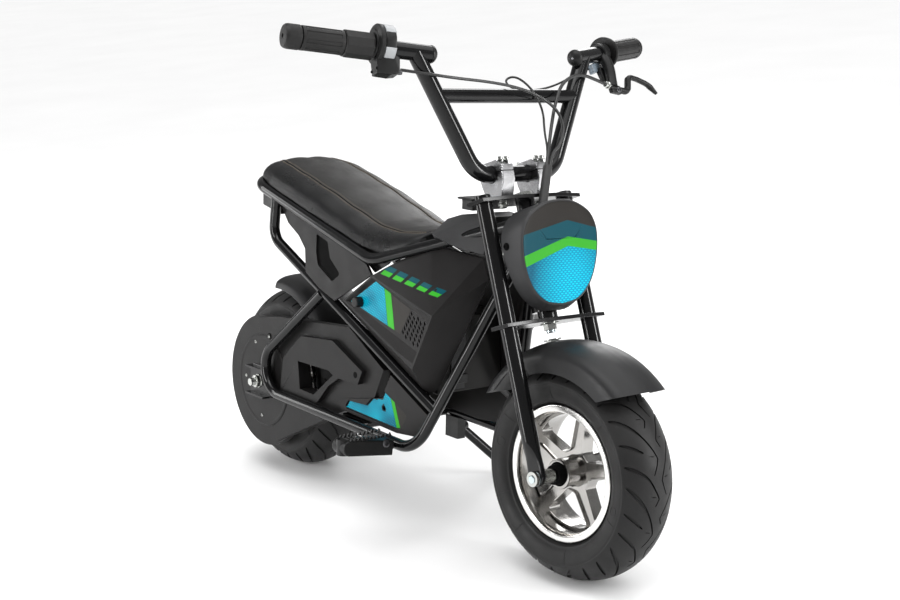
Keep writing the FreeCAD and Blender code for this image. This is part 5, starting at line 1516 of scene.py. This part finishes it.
# ---------------------------------------------------------------- chain cover
ARM = [(-20, 97), (40, 108), (238, 124), (325, 77), (304, 34), (170, -31), (112, -56), (40, -90)]
FACE = [(120, 92), (205, 100), (283, 68), (272, 47), (222, 46), (196, 30), (165, -2), (60, -8), (70, 50)]
WIN = [(112, 52), (196, 53), (207, 48), (156, 9), (118, 10)]
cov = copy_of("chain_cover", "chain_case", ["cover_dark"], 2.5)
bevel(cov, 1.6 * MM, 3, 28)
weighted(cov)
done(cov, "frame", ("chain_cover",))
cb = Batch("chain_case_details", ["cover_dark", "matt_black", "zinc", "steel_dark", "frame_black"], REAR)
def circ(r, n=72, c=(0, 0)):
    return [(c[0] + r * math.cos(2 * math.pi * k / n), c[1] + r * math.sin(2 * math.pi * k / n)) for k in range(n)]
ringv, ringf = terrain((circ(71.5), 76.6), [(circ(70.6), 77.3), (circ(66.8), 77.3), (circ(66.2), 76.9)], [(circ(65.4), 76.9)], -76.0)
cb.put(([(x, -h, z) for x, z, h in ringv], ringf), "cover_dark")
for (x_, z_) in ((-23, 58), (17, 73), (-3, -57), (-52, -2)):
    if True:
        cb.put(lathe([(0, 0), (5.2, 0), (5.2, 0.3), (0, 0.3)], 28), "matt_black", aim((x_, -76.3, z_), (0, -1, 0)))
        bolt(cb, (x_, -76.5, z_), (0, -1, 0), 2.6, 1.5, 0, 0, "zinc", cap=True)
# thin matt black disc laid on the face: painted shade of a hole in the cover
cb.put(lathe([(0, 0), (4.6, 0), (4.6, 0.25), (0, 0.25)], 32), "matt_black", aim((266, -84.0, 60), (0, -1, 0)))
bolt(cb, (0, -85.6, 0), (0, -1, 0), 9.0, 7.0, 11.0, 1.6, "zinc", spin=10)
cb.put(lathe([(0, 0), (6.0, 0), (6.0, 9.5), (5.4, 10.2), (0, 10.2)], 32), "zinc", aim((0, -91.5, 0), (0, -1, 0)))
for k_ in range(4):
    cb.put(lathe([(6.0, 0), (6.35, 0.4), (6.0, 0.8)], 32), "zinc", aim((0, -93.0 - 1.6 * k_, 0), (0, -1, 0)))
bolt(cb, (0, 85.6, 0), (0, 1, 0), 9.0, 7.0, 11.0, 1.6, "zinc", spin=4)
for z_ in (-23, 23):
    cb.put(hull_of([(-16, -84.5, z_ - 3.5), (14, -84.5, z_ - 3.5), (-16, -88.0, z_ - 3.5), (14, -88.0, z_ - 3.5), (-13, -84.5, z_ + 3.5), (11, -84.5, z_ + 3.5), (-13, -88.0, z_ + 3.5), (11, -88, z_ + 3.5)], 1.0, 2), "frame_black")
cb.make("frame", smooth=34)

# ---------------------------------------------------------------- seat: sewn cover over a soft pad
SEAT_ROWS = [(-24, 466, 66, 471, 40, 475), (0, 462, 80, 488, 44, 491), (34, 453.6, 88, 484, 51, 489), (80, 442, 89, 473, 52, 478), (150, 424.4, 89, 455, 52, 460),
             (220, 406.6, 88, 434, 51, 439), (281, 391, 87, 416, 48, 421), (320, 385.5, 81, 412, 44, 417), (352, 396.5, 69, 414, 38, 419), (376, 405, 56, 418, 30, 422)]


def seat_at(x):
    rows = SEAT_ROWS
    if x <= rows[0][0]:
        return rows[0][1:]
    for a, b in zip(rows, rows[1:]):
        if x <= b[0]:
            t = (x - a[0]) / (b[0] - a[0])
            t = t * t * (3 - 2 * t) * 0.35 + t * 0.65
            return tuple(p + (q - p) * t for p, q in zip(a[1:], b[1:]))
    return rows[-1][1:]


def seat_ring(x, shrink=1.0, lift=0.0, drop=0.0):
    """Section at x: from the right bottom edge over the crown to the left, then back below."""
    floor, edge, sz, sh, crown = seat_at(x)
    floor += lift
    mid = floor + (crown - floor) * 0.30
    edge, sh = edge * shrink, sh * shrink
    sz, crown = sz - drop, crown - drop
    side = []
    for k in range(9):
        t = k / 8.0
        # wall that leaves the base, bulges and leans in to the seam
        y = edge + (sh - edge) * (t ** 1.75)
        z = floor + (sz - floor) * (1 - (1 - t) ** 1.85)
        side.append((y, z))
    top = []
    for k in range(1, 9):
        t = k / 8.0
        top.append((sh * (1 - t), sz + (crown - sz) * math.sin(math.pi / 2 * t) + (1.6 * math.sin(math.pi * t) if shrink > 0.9 else 0)))
    half = side + top
    pts = [(-y, z) for y, z in half] + [(y, z) for y, z in reversed(half[:-1])]
    under = [(edge * (1 - 2 * k / 8.0), floor) for k in range(1, 8)]
    return [(x, y, z) for y, z in pts + under], len(half)


xs = [-24, -22, -18, -12, -4] + list(np.arange(4, 366, 9.0)) + [368, 373, 376]
rings, nh = [], 0
for x_ in xs:
    e_ = 1.0
    if x_ < -4:
        e_ = 1.0 - 0.14 * ((-4 - x_) / 20.0) ** 2
    if x_ > 360:
        e_ = 1.0 - 0.10 * ((x_ - 360) / 16.0) ** 2
    r_, nh = seat_ring(float(x_), e_)
    rings.append(r_)
n_ = len(rings[0])
sv, sf = loop_rings([[Vector(p) for p in r] for r in rings], True, True)
fm = []
seam_a, seam_b = 8, 2 * (nh - 1) - 8
for i in range(len(rings) - 1):
    for k in range(n_):
        fm.append(0 if seam_a <= k < seam_b else 1)
fm += [1, 1]
seat = obj_from("seat_cover", [p * MM for p in sv], sf, LEAN, ("seat_vinyl", "seat_side"), fm, 60)
bm = bmesh.new()
bm.from_mesh(seat.data)
caps = [f for f in bm.faces if len(f.verts) > 8]
for f in caps:
    c_ = f.calc_center_median()
    r_ = bmesh.ops.poke(bm, faces=[f])
bm.to_mesh(seat.data)
bm.free()
idx = {}
for i in range(len(rings)):
    for k in range(n_):
        idx[(i, k)] = i * n_ + k
pin = seat.vertex_groups.new(name="pin")
hold = [idx[(i, k)] for i in range(len(rings)) for k in list(range(0, 1)) + list(range(2 * (nh - 1), n_))]
hold += [idx[(i, k)] for i in (0, 1, len(rings) - 2, len(rings) - 1) for k in range(n_)]
pin.add(sorted(set(hold)), 1.0, "REPLACE")
seams = [idx[(i, k)] for i in range(len(rings)) for k in (seam_a, seam_b)]
pin.add(seams, 0.92, "REPLACE")
rest = [v.co.copy() for v in seat.data.vertices]
cl = seat.modifiers.new("pad", "CLOTH")
st = cl.settings
st.quality, st.mass = 6, 0.4
st.tension_stiffness = st.compression_stiffness = 22
st.shear_stiffness, st.bending_stiffness = 12, 1.2
st.use_pressure, st.uniform_pressure_force = True, 5.0
st.vertex_group_mass = "pin"
st.effector_weights.gravity = 0.0
st.pin_stiffness = 1.0
cl.collision_settings.use_collision = False
cl.point_cache.frame_start, cl.point_cache.frame_end = 1, 20
for fr in range(1, 21):
    scene.frame_set(fr)
dg_ = bpy.context.evaluated_depsgraph_get()
moved = [v.co.copy() for v in seat.evaluated_get(dg_).data.vertices]
seat.modifiers.remove(cl)
scene.frame_set(1)
if len(moved) == len(rest):
    far = max((a - b).length for a, b in zip(moved, rest))
    print("seat cloth moved at most %.1f mm" % (far / MM))
    for v, a, b in zip(seat.data.vertices, rest, moved):
        d_ = b - a
        if d_.length > 0.004:
            d_ = d_.normalized() * 0.004
        v.co = a + d_
sub = seat.modifiers.new("smooth", "SUBSURF")
sub.levels = sub.render_levels = 1
bm = bmesh.new()
bm.from_mesh(seat.data)
cr = bm.edges.layers.float.get("crease_edge") or bm.edges.layers.float.new("crease_edge")
bm.verts.ensure_lookup_table()
for i in range(len(rings) - 1):
    for k in (seam_a, seam_b):
        e = bm.edges.get((bm.verts[idx[(i, k)]], bm.verts[idx[(i + 1, k)]]))
        if e:
            e[cr] = 0.75
    for k in (0, 2 * (nh - 1)):
        e = bm.edges.get((bm.verts[idx[(i, k)]], bm.verts[idx[(i + 1, k)]]))
        if e:
            e[cr] = 0.9
bm.to_mesh(seat.data)
bm.free()
apply_all(seat)
for p in seat.data.polygons:
    p.use_smooth = True
done(seat, "frame", ("seat_pad",))

# piping cord in the seam and two rows of stitches beside it
inv = LEAN.inverted() @ seat.matrix_world
seat_tree = BVHTree.FromPolygons([inv @ v.co for v in seat.data.vertices], [list(p.vertices) for p in seat.data.polygons])
sew = Batch("seat_seams", ["seat_side", "thread_light"], LEAN)


def on_seat(p, up_mm=0.0):
    hit = seat_tree.find_nearest(Vector(p) * MM)
    return hit[0] / MM + hit[1] * up_mm, hit[1]


for sd in (-1, 1):
    path = []
    xa = np.arange(-10, 372, 5.0)
    for x_ in xa:
        floor, edge, sz, sh, crown = seat_at(float(x_))
        q, nr = on_seat((float(x_), sd * sh, sz), 0.3)
        path.append(q)
    sew.put(sweep(path, 1.0, 8), "seat_side")
    for off in (3.6, ):
        line = []
        for x_ in np.arange(-8, 370, 2.0):
            floor, edge, sz, sh, crown = seat_at(float(x_))
            q, nr = on_seat((float(x_), sd * (sh + off), sz - off * 0.28), 0.12)
            line.append((q, nr))
        i = 0
        while i + 2 < len(line):
            a_, b_ = line[i][0], line[i + 1][0].lerp(line[i + 2][0], 0.2)
            mid_ = (a_ + b_) / 2 + line[i + 1][1] * 0.30
            sew.put(sweep([a_ - line[i][1] * 0.15, a_.lerp(mid_, 0.6) + line[i][1] * 0.1, mid_, b_.lerp(mid_, 0.6) + line[i][1] * 0.1, b_ - line[i][1] * 0.15], 0.46, 5), "thread_light")
            i += 2
    for off in (-3.2, ):
        line = []
        for x_ in np.arange(-6, 366, 2.0):
            floor, edge, sz, sh, crown = seat_at(float(x_))
            q, nr = on_seat((float(x_), sd * (sh + off), sz + 0.4), 0.12)
            line.append((q, nr))
        i = 0
        while i + 2 < len(line):
            a_, b_ = line[i][0], line[i + 1][0].lerp(line[i + 2][0], 0.2)
            mid_ = (a_ + b_) / 2 + line[i + 1][1] * 0.30
            sew.put(sweep([a_ - line[i][1] * 0.15, a_.lerp(mid_, 0.6) + line[i][1] * 0.1, mid_, b_.lerp(mid_, 0.6) + line[i][1] * 0.1, b_ - line[i][1] * 0.15], 0.42, 5), "thread_light")
            i += 2
sew.make("frame", smooth=60, wn=False)


# foot pegs: rounded end tube, toothed top edges and a cross bolt
pegs = copy_of("foot_pegs", "peg_blocks", ["black_plastic"], 2.0)
bevel(pegs, 2.2 * MM, 3, 30)
weighted(pegs)
done(pegs, "frame", ("foot_pegs",))
pt = Batch("peg_teeth", ["black_plastic", "steel_dark", "matt_black"], LEAN)
for sd in (-1, 1):
    for k_ in range(11):
        y_ = sd * (111 + 6.4 * k_)
        for x_ in (365.2, 390.8):
            pt.put(hull_of([(x_ - 2.2, y_ - 2.3, 143.0), (x_ + 2.2, y_ - 2.3, 143.0), (x_ - 2.2, y_ + 2.3, 143.0), (x_ + 2.2, y_ + 2.3, 143.0), (x_ - 1.6, y_, 148.4), (x_ + 1.6, y_, 148.4)], 0.5, 2), "black_plastic")
    for k_ in range(9):
        y_ = sd * (114 + 7.6 * k_)
        pt.put(hull_of([(368, y_ - 1.0, 144.0), (388, y_ - 1.0, 144.0), (368, y_ + 1.0, 144.0), (388, y_ + 1.0, 144.0), (368.5, y_, 146.2), (387.5, y_, 146.2)], 0.3, 1), "black_plastic")
    pt.put(lathe([(0, 0), (6.2, 0), (6.2, 0.8), (5.0, 1.5), (3.6, 1.5), (3.2, 0.5), (0, 0.5)], 32), "steel_dark", aim((393.0, sd * 118, 134.7), (1, 0, 0)))
    pt.put(lathe([(7.6, -9.6), (7.8, -10.6), (9.6, -10.8), (10.0, -10.2), (10.0, 10.2), (9.6, 10.9), (7.8, 10.7), (7.6, 9.6)], 36), "black_plastic", aim((378, sd * 178, 134.7), (0, 0, 1)))
pt.make("frame", smooth=34)

# black bracket that carries the seat rail over the side cover
fb = Batch("seat_bracket", ["frame_black"], LEAN)
for sd in (-1, 1):
    fb.put(hull_of([(x_, sd * y_, z_) for x_, z_ in ((284, 367), (346, 379), (336, 371), (304, 355)) for y_ in (76.5, 79.5)], 0.8, 2), "frame_black")
fb.make("frame", smooth=34)

# battery strap with its buckle, under the front of the pack
sb = Batch("pack_strap", ["webbing", "black_plastic"], LEAN)
for y_ in (-22,):
    sb.put(hull_of([(425.0, y_ - 12, 205), (425.0, y_ + 12, 205), (426.4, y_ - 12, 205), (426.4, y_ + 12, 205), (425.0, y_ - 12, 300), (425.0, y_ + 12, 300), (426.4, y_ - 12, 300), (426.4, y_ + 12, 300)], 0.4, 1), "webbing")
    sb.put(hull_of([(425.0, y_ - 15, 212), (425.0, y_ + 15, 212), (430.0, y_ - 14, 213), (430.0, y_ + 14, 213), (425.0, y_ - 15, 226), (425.0, y_ + 15, 226), (430.0, y_ - 14, 225), (430.0, y_ + 14, 225)], 1.0, 2), "black_plastic")
sb.make("frame", smooth=34)

# softened edges on the rest of the frame's plates and boxes
for n_, nm_, mt_, w_ in (("battery_box", "pack_case", "battery_case", 2.5), ("control_box", "control_case", "black_plastic", 2.0), ("dropouts", "axle_plates", "frame_black", 0.8),
                         ("stand_bracket", "stand_plate", "frame_black", 0.6), ("seat_base", "seat_pan", "black_plastic", 1.0), ("tail_piece", "tail_block", "black_plastic", 1.5),
                         ("battery_tray", "pack_tray", "matt_black", 0.5)):
    ob_ = copy_of(n_, nm_, [mt_], 2.0)
    bevel(ob_, w_ * MM, 3, 30)
    weighted(ob_)
    done(ob_, "frame", (n_,))


# lip of the seat pan that stands inside the rail, under the edge of the cushion
lip = Batch("seat_lip", ["black_plastic"], LEAN)
for sd in (-1, 1):
    out_, in_ = [], []
    for x_ in np.arange(-8, 377, 8.0):
        fl_ = seat_at(float(x_))[0]
        y_ = 78.5 if x_ <= 308 else min(78.5, 89 - (x_ - 311) * 72 / 222.0 - 10.8)
        y_ = min(y_, seat_at(float(x_))[1] - 1.5)
        out_.append([Vector((x_, sd * y_, fl_ - 12)), Vector((x_, sd * y_, fl_ + 2)), Vector((x_, sd * (y_ - 2), fl_ + 2)), Vector((x_, sd * (y_ - 2), fl_ - 12))])
    lip.put(loop_rings(out_), "black_plastic")
lip.make("frame", smooth=34)


# stem of the steering: a dark rod that ends in a nut under the lower plate
low_ = [v for n in ("fork_clamps",) for v in [STEER.inverted() @ (NODE[n].matrix_world @ w.co) for w in NODE[n].data.vertices]]
under_ = min(v.z for v in low_) / MM
stem = Batch("steering_stem", ["frame_black", "zinc", "zinc_blue"], STEER)
stem.put(lathe([(0, under_ + 0.5), (12.2, under_ + 0.5), (12.7, under_ + 1.0), (12.7, 362.2), (12.2, 363.0), (0, 363.0)], 48), "frame_black")
bolt(stem, (0, 0, under_ + 0.2), (0, 0, -1), 9.0, 8.0, 11.5, 1.6, "zinc")
stem.put(lathe([(0, 0), (6.0, 0), (6.0, 12.0), (5.2, 13.0), (0, 13.0)], 32), "zinc_blue", aim((0, 0, under_), (0, 0, -1)))
stem.make("steering", ("steerer",), smooth=34)
print("lower plate underside at %.1f" % under_)
